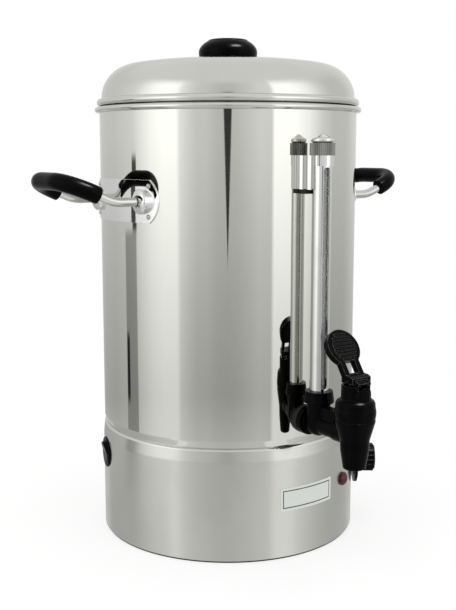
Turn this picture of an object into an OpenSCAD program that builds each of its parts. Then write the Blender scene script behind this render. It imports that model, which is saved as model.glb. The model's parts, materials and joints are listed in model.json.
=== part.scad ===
// Hot water urn: a stainless tank on a base skirt, with a lever tap, a sight gauge,
// two side handles, a lift-off lid and a thermostat in the base.
// Millimetres, +Z up, origin on the urn's axis at the standing face, tap facing -Y.

/* [Tank] */
// Outside diameter of the tank
tank_d = 220; // [210:1:240]
// Sheet thickness of the tank
tank_wall = 0.8; // [0.6:0.1:1.2]
// Height of the tank's side between the base and the rim
tank_side_h = 261; // [240:1:300]
// Thickness of the rolled rim
rim_d = 4.8; // [4:0.1:6]
// Height of the tank's floor above the tank's bottom edge
floor_rise = 8; // [7:0.5:10]
// Corner radius of the tank's floor
floor_corner_r = 5; // [3:0.5:6]

/* [Base] */
// Height of the tank's straight side above the standing face
base_h = 100; // [95:1:110]
// Sheet thickness of the base skirt
base_wall = 0.8; // [0.6:0.1:1]
// How far the skirt stands out beyond the tank
base_step = 1.1; // [1:0.1:2]
// Height of the tank's necked-in end above the skirt
neck_h = 5.5; // [4.5:0.5:7]
// Depth of that neck
neck_in = 2.2; // [1.8:0.1:3]
// Depth of the tank's seat inside the skirt
seat_h = 5.3; // [4.5:0.1:6.5]
// Radius of the round edge at the skirt's top
skirt_edge_r = 2.2; // [1.8:0.1:2.6]
// Height of the slope between that edge and the skirt's straight wall
slope_h = 8.8; // [7:0.2:10]
// How far the skirt's inner ledge carries the tank's edge
ledge_w = 1; // [0.9:0.1:2]
// Height of the foot ring that shows below the skirt
foot_show = 1.5; // [1:0.5:3]
// Width of the foot ring
foot_w = 5; // [4:0.5:6]
// Thickness of the base plate
plate_t = 1; // [0.8:0.1:1.5]
// Height of the base plate above the standing face
plate_z = 6; // [5:0.5:8]
// Number of base brackets and of base screws
bracket_count = 4; // [3:1:6]
// Width of a base bracket
bracket_w = 14; // [10:1:18]
// Depth of a base bracket's foot
bracket_reach = 17; // [15:1:20]
// Sheet thickness of a base bracket
bracket_t = 1.2; // [1:0.1:2]
// Thread diameter of the base screws
base_screw_d = 4; // [3:0.5:5]

/* [Lid] */
// Sheet thickness of the lid
lid_wall = 0.8; // [0.6:0.1:1.2]
// How far the lid's side stands inside the tank's outside
lid_inset = 1.9; // [1.5:0.1:3]
// Height of the rolled edge of the lid
lid_bead_h = 6.6; // [5:0.1:7]
// How far the rolled edge stands out from the lid's side
lid_bead_out = 4; // [3.4:0.1:4.5]
// Radius of the lid's shoulder
lid_shoulder_r = 28.8; // [22:0.1:34]
// Height of the lid's crown above its edge
lid_rise = 40.9; // [38:0.1:46]
// Depth of the locating ring below the lid's edge
lid_ring_h = 8; // [5:0.5:12]

/* [Lid knob] */
// Largest diameter of the lid knob
lid_knob_d = 50; // [49:1:60]
// Diameter of the knob's flat top
lid_knob_top_d = 34.5; // [24:0.5:38]
// Diameter of the knob where it meets the lid
lid_knob_base_d = 47; // [40:1:48]
// Height of the lid knob
lid_knob_h = 16.5; // [15:0.1:24]
// Thread diameter of the knob screw
lid_screw_d = 5; // [4:0.5:6]

/* [Tap] */
// Height of the tap's shank above the base
tap_rise = 15; // [14:0.5:24]
// Distance of the spout from the tank
tap_reach = 60; // [56:1:70]
// Outside diameter of the shank
shank_d = 15.5; // [14:0.5:17]
// Diameter of the threaded stub through the tank
stub_d = 16; // [14:0.5:18]
// Diameter of the shank's flange
flange_d = 23; // [21:0.5:25]
// Thickness of the shank's flange
flange_t = 4.8; // [3:0.2:6]
// Bore of the shank
shank_bore_d = 9; // [7:0.5:10]
// Largest diameter of the bonnet
bonnet_d = 32; // [30:0.5:34]
// Diameter of the bonnet's collar
collar_d = 22; // [20:0.5:23]
// Height of the bonnet's collar up to the lever's foot
collar_h = 7; // [5:0.5:8]
// Height of the joint line between valve body and bonnet above the shank
valve_joint_h = 13; // [9:0.5:14]
// Height of the bonnet below its collar
bonnet_h = 17.5; // [16:0.5:20]
// Depth of the spout's tip below the shank
spout_drop = 25.5; // [24:0.5:32]
// Diameter of the spout's tip
spout_d = 17.6; // [16:0.2:20]
// Bore of the spout
spout_bore_d = 13.6; // [10:0.2:14]
// Diameter of the valve chamber
chamber_d = 18.6; // [17:0.2:19]
// Diameter of the valve stem
stem_d = 6; // [5:0.2:7]
// Stem lift for one radian of lever travel
stem_lift_per_rad = 4.8; // [3:0.1:5]

/* [Tap lever] */
// Lean of the lever towards the tank at rest, in degrees from upright
lever_lean = 35; // [25:1:40]
// Travel of the lever in degrees
lever_travel = 60; // [45:1:60]
// Width of the lever's arm
lever_w = 18; // [14:0.5:20]
// Thickness of the lever's arm
lever_t = 5.4; // [5:0.2:8]
// Width of the lever's foot inside the collar
lever_foot_w = 12; // [11:0.5:12.5]
// Diameter of the lever's paddle
paddle_d = 29.5; // [22:0.5:30]
// Distance from the lever's pin to the paddle's centre
paddle_reach = 28.5; // [28:0.5:38]
// Number of ribs on the paddle
paddle_ribs = 8; // [5:1:10]
// Diameter of the lever's pin
pin_d = 3; // [2:0.2:3.6]

/* [Gauge] */
// Distance of the gauge's axis from the tank
gauge_off = 17; // [16:0.5:19]
// Outside diameter of the guard tube
guard_d = 15; // [14:0.2:15.6]
// Wall of the guard tube
guard_wall = 0.8; // [0.6:0.1:1.2]
// Width of the guard's slot
slot_w = 5.6; // [4:0.2:7]
// Turn of the slot away from straight ahead, in degrees
slot_turn = 8; // [0:1:20]
// Outside diameter of the glass tube
glass_d = 10; // [8:0.2:10.6]
// Wall of the glass tube
glass_wall = 1.2; // [0.8:0.1:1.6]
// Outside diameter of the gauge's socket
socket_d = 22; // [20:0.5:23]
// Height of the socket's mouth above the shank
socket_rise = 27; // [25:0.5:32]
// Depth of the guard's seat in the socket
socket_depth = 6; // [4:0.5:8]
// Distance of the strap's top below the tank's rim
strap_drop = 35; // [30:1:60]
// Height of the strap's sides
strap_h = 26; // [22:1:32]
// Height of the strap's front
strap_front_h = 8; // [6:0.5:12]
// Sheet thickness of the strap
strap_t = 0.9; // [0.8:0.1:1.2]
// Outside diameter of the knurled collar
knurl_d = 19.5; // [17:0.5:21]
// Height of the knurled collar
knurl_h = 9.5; // [8:0.5:12]
// Number of ridges on the knurled collar
knurl_count = 36; // [24:1:44]
// Height of the bright dome above the collar
dome_h = 7; // [5:0.5:9]

/* [Handles] */
// Distance of the handles' middle below the tank's rim
handle_drop = 71; // [66:1:90]
// Width of a handle plate along the tank
plate_w = 98; // [94:1:104]
// Height of a handle plate
plate_h = 34; // [30:1:38]
// Sheet thickness of a handle plate
handle_plate_t = 1.2; // [1:0.1:1.6]
// Radius of the round ends of a handle plate
plate_end_r = 22; // [20:1:30]
// Distance between the two legs of a handle
leg_gap = 70; // [66:1:72]
// Diameter of a handle's rod
rod_d = 7.2; // [5:0.2:7.6]
// Radius of the domes on a handle plate
boss_r = 10; // [9:0.5:11]
// Distance of the grip's middle from the tank
grip_reach = 59; // [54:1:66]
// Distance of the rod's upward bend from the tank
knee_reach = 21; // [18:1:24]
// Rise of the handle beyond the bend, in degrees
handle_rise = 23; // [10:1:30]
// Bend radius of the rod at the grip's corners
grip_bend_r = 24; // [22:1:28]
// Thickness of the grip
grip_d = 13.8; // [11:0.2:15]
// Length of the grip's straight ends
grip_tail = 2; // [1.5:0.5:6]
// Diameter of the rivets
rivet_d = 2.6; // [2.4:0.2:3.6]

/* [Thermostat knob] */
// Direction of the thermostat knob around the urn, in degrees from the tap
knob_turn = 55; // [48:1:60]
// Depth of the thermostat knob's centre below the skirt's top
knob_drop = 45; // [42:1:50]
// Diameter of the knob's dial skirt
dial_d = 44; // [38:1:46]
// Thickness of the dial skirt at its rim
dial_t = 2.4; // [1.5:0.1:4]
// Diameter of the knob's grip
knob_grip_d = 25; // [20:1:30]
// How far the knob stands out from the base
knob_out = 21; // [17:0.5:26]
// Gap between the dial skirt and the base
knob_gap = 2.2; // [2.1:0.1:4]
// Number of ribs around the knob's grip
knob_ribs = 18; // [10:1:24]
// Diameter of the thermostat's shaft
shaft_d = 6; // [5:0.2:7]

/* [Lamp and switch] */
// Direction of the lamp around the urn, in degrees from the tap
lamp_turn = 27; // [24:1:30]
// Depth of the lamp's centre below the skirt's top
lamp_drop = 48; // [44:1:52]
// Diameter of the lamp's lens
lens_d = 11.6; // [10:0.2:13]
// How far the lens stands out from the base
lens_out = 4.6; // [3:0.2:7]
// Diameter of the lamp's body
lamp_body_d = 9; // [8:0.2:9.6]
// Direction of the switch around the urn, in degrees from the tap
switch_turn = -107; // [-120:1:-100]
// Depth of the switch's centre below the skirt's top
switch_drop = 30; // [28:1:34]
// Diameter of the switch's bezel
bezel_d = 26.5; // [26:0.5:29]
// Diameter of the rocker
rocker_d = 20.6; // [18:0.2:21]
// How far the bezel stands out from the base
bezel_out = 1.2; // [1:0.1:3]
// Travel of the rocker in degrees
rocker_travel = 16; // [10:1:20]

/* [Cord gland] */
// Height of the cord gland above the standing face
gland_z = 30; // [26:1:40]
// Bore of the cord gland
gland_bore_d = 8; // [6:0.2:9]
// Thread diameter of the cord gland
gland_thread_d = 12; // [11:0.5:14]
// How far the gland stands out from the base
gland_out = 14; // [10:1:20]

/* [Fittings in the base] */
// Length of the sensor bulb
bulb_l = 62; // [50:1:66]
// Diameter of the sensor bulb
bulb_d = 6; // [5:0.2:7]
// Distance of the sensor bulb from the middle of the base
bulb_off = 26; // [22:1:30]
// Width of the terminal block
block_w = 48; // [40:1:56]
// Depth of the terminal block
block_d = 20; // [16:1:24]
// Height of the terminal block
block_h = 14; // [12:1:18]
// Distance of the terminal block from the middle of the base
block_off = 52; // [48:1:56]
// Number of poles of the terminal block
block_poles = 4; // [3:1:5]
// Diameter of the boil-dry cutout
cutout_d = 24; // [20:1:28]

/* [Heating element] */
// Radius of the heating element's loop
element_r = 62; // [50:1:68]
// Diameter of the heating element's tube
element_d = 8; // [6:0.5:9]
// Height of the element's loop above the tank's floor
element_rise = 14; // [11:0.5:20]

/* [Fits] */
// Radial clearance of a running shaft
run_fit = 0.05; // [0.02:0.01:0.1]
// Radial clearance of a piece that is pushed home
push_fit = 0.05; // [0.02:0.01:0.1]
// Gap between pieces that part in use
part_gap = 0.3; // [0.2:0.05:0.5]
// Radial clearance of a screw or rivet in its hole
hole_fit = 0.1; // [0.05:0.05:0.3]

/* [Hidden] */
$fn = 96;
tank_r = tank_d / 2;
tank_in_r = tank_r - tank_wall;
rim_line_z = base_h + tank_side_h;
rim_z = rim_line_z + rim_d / 2;
rim_c_r = tank_in_r + rim_d / 2;
lid_seat_z = rim_line_z + rim_d + part_gap;
base_r = tank_r + base_step;
base_in_r = base_r - base_wall;
skirt_top_z = base_h - neck_h;
ledge_z = skirt_top_z - seat_h;
ledge_t = 1.2;
neck_r = tank_r - neck_in;
neck_in_r = neck_r - tank_wall;
floor_z = ledge_z + floor_rise;
floor_r = neck_in_r - push_fit;
floor_under_z = floor_z - tank_wall;

tap_z = base_h + tap_rise;
tap_r = tank_r + tap_reach;
gauge_r = tank_r + gauge_off;
seal_t = 2.2;
flange_face_r = tank_r + seal_t;
nut_face_r = tank_in_r - seal_t;
nut_t = 6;
stub_end_r = nut_face_r - nut_t - 2;
nut_d = 1.65 * stub_d;
hub_reach = 20;
hub_wall = 0.9;
spigot_d = 12;
spigot_wall = (spigot_d - shank_bore_d) / 2;
spigot_l = 8.6;
hub_face_r = tap_r - hub_reach;
hub_d = shank_d + 2 * hub_wall;
web_w = 9;
web_h = 15;
web_end_r = tap_r - bonnet_d / 2 - 2 * part_gap;
web_foot = hub_d / 2 + part_gap;
joint_z = tap_z + valve_joint_h;
collar_z = joint_z + bonnet_h;
collar_top_z = collar_z + collar_h;
thread_h = 8;
thread_wall = 3;
thread_r = chamber_d / 2 + thread_wall;
chamber_z = tap_z - shank_bore_d / 2 - 4.5;
seat_bore_r = chamber_d / 2 - 4.3;
spout_z = tap_z - spout_drop;
spout_bore_top_z = chamber_z - 8;
bonnet_roof_t = 3;
spring_top_z = collar_z - bonnet_roof_t;
seat_cup_h = 5;
seat_cup_r = chamber_d / 2 - 1.3;
seat_cup_z = chamber_z + 0.2;
seat_cup_skin = 1.4;
stem_plate_t = 1.5;
spring_r = stem_d / 2 + 3;
spring_wire_d = 1.2;
spring_turns = 7;
pin_rise = 4.3;
pin_z = collar_top_z + pin_rise;
yoke_z = pin_z - 1.5;
yoke_in_r = collar_d / 2 - 1.6;
yoke_gap = lever_foot_w + 4 * part_gap;
stem_top_r = stem_d / 2 + 0.2;

socket_z = tap_z + socket_rise;
guard_foot_z = socket_z - socket_depth + 0.2;
seal_low_h = 6;
seal_low_r = glass_d / 2 + 2;
glass_foot_z = guard_foot_z - seal_low_h;
strap_z = rim_line_z - strap_drop;
strap_out_r = guard_d / 2 + 0.2 + strap_t;
strap_in_r = strap_out_r - strap_t;
gland_wall = 1;
gland_flange_t = 2.4;
gland_r = glass_d / 2 + run_fit + gland_wall;
gland_flange_r = guard_d / 2 - 0.4;
guard_top_z = strap_z - strap_t - gland_flange_t - 0.2;
knurl_z = strap_z;
knurl_top_z = knurl_z + knurl_h;
seal_high_h = 1.4;
gland_top_z = knurl_top_z - seal_high_h;

handle_z = rim_line_z - handle_drop;
plate_in_r = tank_r + push_fit;
plate_out_r = plate_in_r + handle_plate_t;
leg_y = leg_gap / 2;
boss_x = sqrt(pow(plate_in_r, 2) - pow(leg_y, 2));
boss_in_r = boss_r - 1;
boss_mouth_r = rod_d / 2 + 0.9;
rod_head_r = boss_mouth_r + 1;
rod_head_t = 2;
boss_wall = sqrt(pow(plate_out_r, 2) - pow(leg_y - boss_r, 2)) - boss_x + 0.3;
boss_top = boss_wall + 0.34 * boss_r;
dome_rise = boss_top - boss_wall;
rod_head_x = boss_x + boss_wall - 1 + dome_rise * sqrt(1 - pow(rod_head_r / boss_in_r, 2)) - 0.2;
bar_lap = 0.3;
bar_step = 0.02;
knee_x = tank_r + knee_reach;
knee_r = 34;
knee_half = knee_r * tan(handle_rise / 2);
grip_run = (tank_r + grip_reach - knee_x) / cos(handle_rise);
rivet_y = plate_w / 2 - 9;
rivet_rise = plate_h / 2 - 5;
rivet_head_r = rivet_d * 0.8;
rivet_head_h = rivet_d * 0.45;

knob_z = base_h - knob_drop;
lamp_z = base_h - lamp_drop;
switch_z = base_h - switch_drop;
stat_size = 34;
stat_depth = 26;
stat_face_r = sqrt(pow(base_in_r, 2) - pow(stat_size / 2, 2)) - 0.1;
stat_screw_gap = 28;
stat_screw_d = 4;
rocker_r = rocker_d / 2;
pocket_r = rocker_r + part_gap;
switch_neck_r = pocket_r + 0.8;
rocker_axis_r = base_r - 2;
rocker_pin_d = 2.4;
bracket_z = plate_z + plate_t;
bracket_face_r = sqrt(pow(base_in_r, 2) - pow(bracket_w / 2, 2)) - 0.05;
base_screw_r = base_in_r - foot_w - 6.5;
element_leg_r = element_d / 2;
element_z = floor_z + element_rise;
element_gap = 60;
element_bend_r = element_d + 0.4;
element_seal_t = 1.6;
element_collar_t = 3.4;
element_flange_r = element_leg_r + 4.5;
element_nut_t = 5;
element_tail = 13;
lid_r = tank_r - lid_inset;
lid_c_r = lid_r - lid_shoulder_r;
lid_c_z = lid_seat_z + lid_bead_h;
lid_apex_z = lid_seat_z + lid_rise;
knob_seat_z = lid_apex_z + 0.1;
lid_ring_r = lid_r - lid_wall - push_fit;
plain = "#c9c9c4";
black = "#151515";

function arc(centre, r, a0, a1, n) =
    [for (i = [0:n]) let (a = a0 + (a1 - a0) * i / n) centre + r * [cos(a), sin(a)]];

// Points up a wall of radius r that bulges out by sag between two heights
function bulge(r, z0, z1, sag, n) =
    let (half = (z1 - z0) / 2, big = (half * half + sag * sag) / (2 * sag), a = asin(half / big))
    arc([r + sag - big, (z0 + z1) / 2], big, -a, a, n);

// Local +Z points straight out of the urn in one direction, local +Y points up
module facing(turn, height) {
    rotate([0, 0, turn]) translate([0, 0, height]) rotate([90, 0, 0]) children();
}

module at_gauge() { translate([0, -gauge_r, 0]) children(); }

module at_spout() { translate([0, -tap_r, 0]) children(); }

// Tube along Z from z0 to z1
module tube(r_out, r_in, z0, z1) {
    translate([0, 0, z0]) difference() {
        cylinder(r = r_out, h = z1 - z0);
        translate([0, 0, -1]) cylinder(r = r_in, h = z1 - z0 + 2);
    }
}

// Rod along Z from z0 to z1
module rod(r, z0, z1) { translate([0, 0, z0]) cylinder(r = r, h = z1 - z0); }

// Hexagon nut along Z with a round hole
module hex_nut(across_corners, hole_r, z0, z1) {
    translate([0, 0, z0]) difference() {
        cylinder(d = across_corners, h = z1 - z0, $fn = 6);
        translate([0, 0, -1]) cylinder(r = hole_r, h = z1 - z0 + 2);
    }
}

// Upright drum of the tank's or base's radius, for hollowing a piece that lies on it
module drum(r) { translate([0, 0, -1]) cylinder(r = r, h = rim_line_z + 100, $fn = 360); }

// Places of the four rivets on a handle plate, seen square on
module each_rivet() {
    for (side = [0, 180], y = [-rivet_y, rivet_y], rise = [-rivet_rise, rivet_rise])
        rotate([0, 0, side + asin(y / tank_r)])
            translate([0, 0, handle_z + rise]) rotate([0, 90, 0]) children();
}

module each_strap_rivet() {
    for (part = [0.3, 0.7]) facing(0, strap_z - strap_t - strap_h * part) children();
}

module each_element_leg() {
    for (side = [-1, 1]) rotate([0, 0, side * element_gap / 2])
        translate([side * element_bend_r, element_r, 0]) children();
}

module each_bracket() {
    for (i = [0:bracket_count - 1]) rotate([0, 0, (i + 0.5) * 360 / bracket_count]) children();
}

module tank() {
    rb = rim_d / 2;
    meet = acos((tank_wall - rb) / rb);
    color(plain) difference() {
        rotate_extrude() polygon(concat(
            [[tank_r, base_h], [neck_r, skirt_top_z], [neck_r, ledge_z]],
            [[neck_in_r, ledge_z], [neck_in_r, skirt_top_z + 0.2], [tank_in_r, base_h + 0.2]],
            arc([rim_c_r, rim_z], rb, 180, -meet, 28)));
        facing(0, tap_z) rod(stub_d / 2 + hole_fit, stub_end_r, tank_r + 5);
        each_rivet() rod(rivet_d / 2 + hole_fit, tank_in_r - 5, tank_r + 5);
        each_strap_rivet() rod(rivet_d / 2 + hole_fit, tank_in_r - 5, tank_r + 5);
    }
}

module tank_floor() {
    c = floor_corner_r;
    color(plain) difference() {
        rotate_extrude() polygon(concat(
            [[floor_r, ledge_z]],
            arc([floor_r - c, floor_z - c], c, 0, 90, 8),
            [[0, floor_z], [0, floor_under_z]],
            arc([floor_r - c, floor_z - c], c - tank_wall, 90, 0, 8),
            [[floor_r - tank_wall, ledge_z]]));
        each_element_leg() rod(element_leg_r + hole_fit, floor_under_z - 5, floor_z + 5);
    }
}

module base_skirt() {
    fit_r = neck_r + push_fit;
    ledge_r = neck_in_r - ledge_w;
    edge_z = skirt_top_z - skirt_edge_r;
    color("#b9b8b2") difference() {
        rotate_extrude() polygon(concat(
            [[base_in_r, foot_show], [base_r - 0.3, foot_show], [base_r, foot_show + 0.3]],
            [[base_r, edge_z - slope_h]],
            arc([fit_r + 0.15, edge_z], skirt_edge_r, 0, 90, 10),
            [[fit_r, skirt_top_z], [fit_r, ledge_z], [ledge_r, ledge_z], [ledge_r, ledge_z - ledge_t]],
            [[base_in_r, ledge_z - ledge_t - base_in_r + ledge_r]]));
        facing(knob_turn, knob_z) {
            rod(shaft_d / 2 + 2, base_in_r - 5, base_r + 5);
            for (side = [-1, 1]) translate([0, side * stat_screw_gap / 2, 0])
                rod(stat_screw_d / 2 + hole_fit, base_in_r - 5, base_r + 5);
        }
        facing(lamp_turn, lamp_z) rod(lamp_body_d / 2 + hole_fit, base_in_r - 5, base_r + 5);
        facing(switch_turn, switch_z) rod(switch_neck_r + hole_fit, base_in_r - 5, base_r + 5);
        facing(180, gland_z) rod(gland_thread_d / 2 + hole_fit, base_in_r - 5, base_r + 5);
    }
}

module base_plate() {
    vent_w = 3;
    vent_l = 26;
    color("#a8a8a4") difference() {
        rod(base_in_r - 0.2, plate_z, plate_z + plate_t);
        each_bracket() translate([base_screw_r, 0, 0])
            rod(base_screw_d / 2 + hole_fit, plate_z - 5, plate_z + 5);
        for (i = [-3:3]) translate([i * 3 * vent_w - vent_w / 2, -50, plate_z - 1])
            cube([vent_w, vent_l, plate_t + 2]);
    }
}

module base_brackets() {
    color("#9a9a96") each_bracket() difference() {
        translate([bracket_face_r - bracket_reach, -bracket_w / 2, bracket_z])
            cube([bracket_reach, bracket_w, bracket_w]);
        translate([bracket_face_r - bracket_reach - 1, -bracket_w, bracket_z + bracket_t])
            cube([bracket_reach + 1 - bracket_t, 2 * bracket_w, bracket_w]);
        translate([base_screw_r, 0, 0]) rod(base_screw_d / 2 + push_fit, bracket_z - 5, bracket_z + 5);
    }
}

module base_screws() {
    head_r = base_screw_d * 0.9;
    head_h = base_screw_d * 0.5;
    color("#8c8c88") each_bracket() translate([base_screw_r, 0, 0]) difference() {
        union() {
            rod(base_screw_d / 2, plate_z - 0.1, bracket_z + bracket_t + 3);
            rod(head_r, plate_z - head_h, plate_z);
        }
        translate([-head_r, -0.5, plate_z - head_h - 1]) cube([2 * head_r, 1, 2]);
    }
}

module foot_ring() {
    r_out = base_in_r - 0.5;
    color(black) tube(r_out, r_out - foot_w, 0, plate_z);
}

// Half section of the lid's skin, drawn in by some thickness
function lid_line(inset) =
    let (
        a = lid_apex_z - lid_shoulder_r,
        crown_z = (a * a - lid_c_r * lid_c_r - lid_c_z * lid_c_z) / (2 * (a - lid_c_z)),
        crown_r = lid_apex_z - crown_z,
        tilt = asin(lid_c_r / (crown_r - lid_shoulder_r)))
    concat(
        arc([lid_c_r, lid_c_z], lid_shoulder_r - inset, 0, 90 - tilt, 18),
        arc([0, crown_z], crown_r - inset, 90 - tilt, 90, 8));

function turned(points) = [for (i = [len(points) - 1:-1:0]) points[i]];

module lid_shell() {
    half = lid_bead_h / 2;
    color(plain) difference() {
        rotate_extrude() polygon(concat(
            [[lid_r - lid_wall, lid_seat_z]],
            arc([lid_r + lid_bead_out - half, lid_seat_z + half], half, -90, 90, 16),
            lid_line(0),
            turned(lid_line(lid_wall))));
        rod(lid_screw_d / 2 + hole_fit, lid_apex_z - 10, lid_apex_z + 10);
    }
}

module lid_locating_ring() {
    top_z = lid_seat_z + lid_bead_h - 1;
    color(plain) tube(lid_ring_r, lid_ring_r - lid_wall, lid_seat_z - lid_ring_h, top_z);
}

module lid_knob() {
    z0 = knob_seat_z;
    mid_h = lid_knob_h * 0.29;
    disc_h = lid_knob_h * 0.88;
    crown_z = z0 + disc_h + 0.7;
    top_z = z0 + lid_knob_h;
    mid_r = lid_knob_d / 2;
    low_r = lid_knob_base_d / 2;
    top_r = lid_knob_top_d / 2;
    swell = acos(top_r / mid_r);
    swell_h = (disc_h - mid_h) / sin(swell);
    color(black) difference() {
        rotate_extrude() polygon(concat(
            [[0, z0], [low_r, z0]],
            [for (i = [1:8]) let (a = 90 * i / 8)
                [low_r + (mid_r - low_r) * sin(a), z0 + mid_h * (1 - cos(a))]],
            [for (i = [1:10]) let (a = swell * i / 10)
                [mid_r * cos(a), z0 + mid_h + swell_h * sin(a)]],
            [[top_r - 0.3, z0 + disc_h + 0.1], [top_r - 0.4, crown_z - 0.2]],
            [for (i = [0:8]) let (a = 10 * i)
                [(top_r - 0.8) * cos(a), crown_z + (top_z - crown_z) * sin(a)]],
            [[0, top_z]]));
        rod(lid_screw_d / 2 + push_fit, z0 - 1, z0 + lid_knob_h * 0.6);
    }
}

module lid_knob_screw() {
    head_z = lid_apex_z - lid_wall - 1.4;
    color("#8c8c88") difference() {
        union() {
            rod(lid_screw_d / 2, head_z - 0.1, knob_seat_z + lid_knob_h * 0.55);
            rod(lid_screw_d * 0.9, head_z - lid_screw_d * 0.6, head_z);
        }
        translate([-lid_screw_d, -0.6, head_z - lid_screw_d * 0.6 - 1]) cube([2 * lid_screw_d, 1.2, 2.2]);
    }
}

module lid_knob_washer() {
    top = lid_apex_z - lid_wall - 0.2;
    color("#9a9a96") tube(lid_screw_d * 1.3, lid_screw_d / 2 + hole_fit, top - 1.1, top);
}

module tap_shank() {
    barrel_r = socket_d / 2;
    ball_r = shank_d / 2 + 2;
    color(black) difference() {
        union() {
            facing(0, tap_z) {
                rod(stub_d / 2, stub_end_r, flange_face_r + 1);
                rod(flange_d / 2, flange_face_r, flange_face_r + flange_t);
                rod(shank_d / 2, flange_face_r, hub_face_r);
                rod(spigot_d / 2, hub_face_r - 1, hub_face_r + spigot_l);
            }
            at_gauge() {
                rotate_extrude() polygon(concat(
                    [[0, tap_z - ball_r]],
                    arc([0, tap_z], ball_r, -80, 8, 10),
                    [[barrel_r - 1.6, socket_z - 13], [barrel_r - 1.6, socket_z - 11]],
                    [[barrel_r + 1, socket_z - 9.4], [barrel_r + 1.3, socket_z - 8.4]],
                    [[barrel_r, socket_z], [0, socket_z]]));
            }
            // web between the socket and the valve body
            translate([-web_w / 2, -hub_face_r, tap_z]) cube([web_w, hub_face_r - gauge_r, web_h]);
            translate([-web_w / 2, -web_end_r, tap_z + web_foot])
                cube([web_w, web_end_r - hub_face_r + 1, web_h - web_foot]);
        }
        facing(0, tap_z) rod(shank_bore_d / 2, stub_end_r - 1, hub_face_r + spigot_l + 1);
        at_gauge() {
            rod(glass_d / 2 - glass_wall, tap_z, glass_foot_z + 1);
            rod(seal_low_r + push_fit, glass_foot_z, guard_foot_z);
            rod(guard_d / 2 + push_fit, guard_foot_z - 0.2, socket_z + 1);
        }
    }
}

module tap_outer_seal() {
    color("#3a3a3a") difference() {
        facing(0, tap_z) tube(flange_d / 2, stub_d / 2 + hole_fit, tank_r - 4, flange_face_r);
        drum(tank_r);
    }
}

module tap_inner_seal() {
    color("#3a3a3a") intersection() {
        facing(0, tap_z) tube(flange_d / 2, stub_d / 2 + hole_fit, nut_face_r, tank_r);
        drum(tank_in_r);
    }
}

module tap_back_nut() {
    color(black) facing(0, tap_z) hex_nut(nut_d, stub_d / 2 + push_fit, nut_face_r - nut_t, nut_face_r);
}

module tap_body() {
    shoulder_r = bonnet_d / 2 - 0.5;
    waist_z = tap_z - 3;
    waist_r = 11.4;
    color(black) difference() {
        union() {
            at_spout() rotate_extrude() polygon([
                [0, spout_z], [spout_d / 2 - 0.6, spout_z], [spout_d / 2, spout_z + 0.6],
                [waist_r - 0.4, waist_z - 8], [waist_r, waist_z],
                [shoulder_r, joint_z - 1.5], [shoulder_r, joint_z],
                [thread_r, joint_z], [thread_r, joint_z + thread_h], [0, joint_z + thread_h]]);
            facing(0, tap_z) rod(hub_d / 2, hub_face_r + 0.2, tap_r);
        }
        at_spout() {
            rod(chamber_d / 2, chamber_z, joint_z + thread_h + 1);
            rod(seat_bore_r, spout_bore_top_z - 1, chamber_z + 1);
            rod(spout_bore_d / 2, spout_z - 1, spout_bore_top_z);
        }
        facing(0, tap_z) {
            rod(spigot_d / 2 + push_fit, hub_face_r - 1, hub_face_r + spigot_l + 0.2);
            rod(shank_bore_d / 2, hub_face_r, tap_r);
        }
    }
}

module tap_bonnet() {
    r = bonnet_d / 2;
    low_z = joint_z + 0.1;
    round_r = r - collar_d / 2;
    arch_r = 6.8;
    arch_z = collar_top_z - 4.8;
    color(black) difference() {
        union() {
            difference() {
                at_spout() rotate_extrude() polygon(concat(
                    [[0, low_z], [r - 0.6, low_z]],
                    bulge(r - 0.6, low_z + 1, collar_z - round_r - 3, 0.6, 6),
                    arc([r - 0.6 - round_r, collar_z - round_r - 1], round_r, 20, 80, 8),
                    [[collar_d / 2, collar_z - 0.6], [collar_d / 2, yoke_z - 0.5]],
                    [[collar_d / 2 - 0.5, yoke_z], [yoke_in_r, yoke_z]],
                    [[yoke_in_r, collar_top_z], [0, collar_top_z]]));
                // the collar's wall is open in front of the lever's foot
                at_spout() translate([-yoke_gap / 2, -collar_d, collar_top_z])
                    cube([yoke_gap, collar_d, 2 * pin_rise]);
            }
            at_spout() intersection() {
                tube(collar_d / 2 + 1, collar_d / 2 - 1.2, collar_z - 1, collar_top_z + 4);
                translate([0, 0, arch_z]) rotate([90, 0, 0]) cylinder(r = arch_r, h = collar_d);
            }
        }
        at_spout() {
            rod(thread_r + push_fit, low_z - 1, joint_z + thread_h + 0.2);
            rod(chamber_d / 2, low_z, spring_top_z);
            rod(stem_d / 2 + run_fit, low_z, collar_top_z + 9);
        }
    }
}

module tap_stem() {
    plate_z0 = seat_cup_z + seat_cup_h;
    color("#d8d8d0") at_spout() difference() {
        union() {
            rod(stem_d / 2, seat_cup_z + seat_cup_skin, pin_z + stem_top_r);
            rod(seat_cup_r - 0.3, plate_z0, plate_z0 + stem_plate_t);
        }
        translate([0, 0, pin_z]) rotate([0, 90, 0])
            cylinder(d = pin_d + 2 * run_fit, h = 2 * stem_d, center = true);
    }
}

module tap_seat_cup() {
    color("#e6e0d2") at_spout() difference() {
        rod(seat_cup_r, seat_cup_z, seat_cup_z + seat_cup_h);
        rod(stem_d / 2 + 0.01, seat_cup_z + seat_cup_skin, seat_cup_z + seat_cup_h + 1);
    }
}

// Closed skin over a row of rings of equal length
module skin(rings) {
    sides = len(rings[0]);
    last = len(rings) - 1;
    polyhedron(
        points = [for (ring = rings) each ring],
        faces = concat(
            [for (k = [1:sides - 2]) [0, k + 1, k]],
            [for (k = [1:sides - 2]) [last * sides, last * sides + k, last * sides + k + 1]],
            [for (i = [0:last - 1], k = [0:sides - 1])
                let (a = i * sides + k, b = i * sides + (k + 1) % sides) [a, b, b + sides]],
            [for (i = [0:last - 1], k = [0:sides - 1])
                let (a = i * sides + k, b = i * sides + (k + 1) % sides) [a, b + sides, a + sides]]));
}

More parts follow.
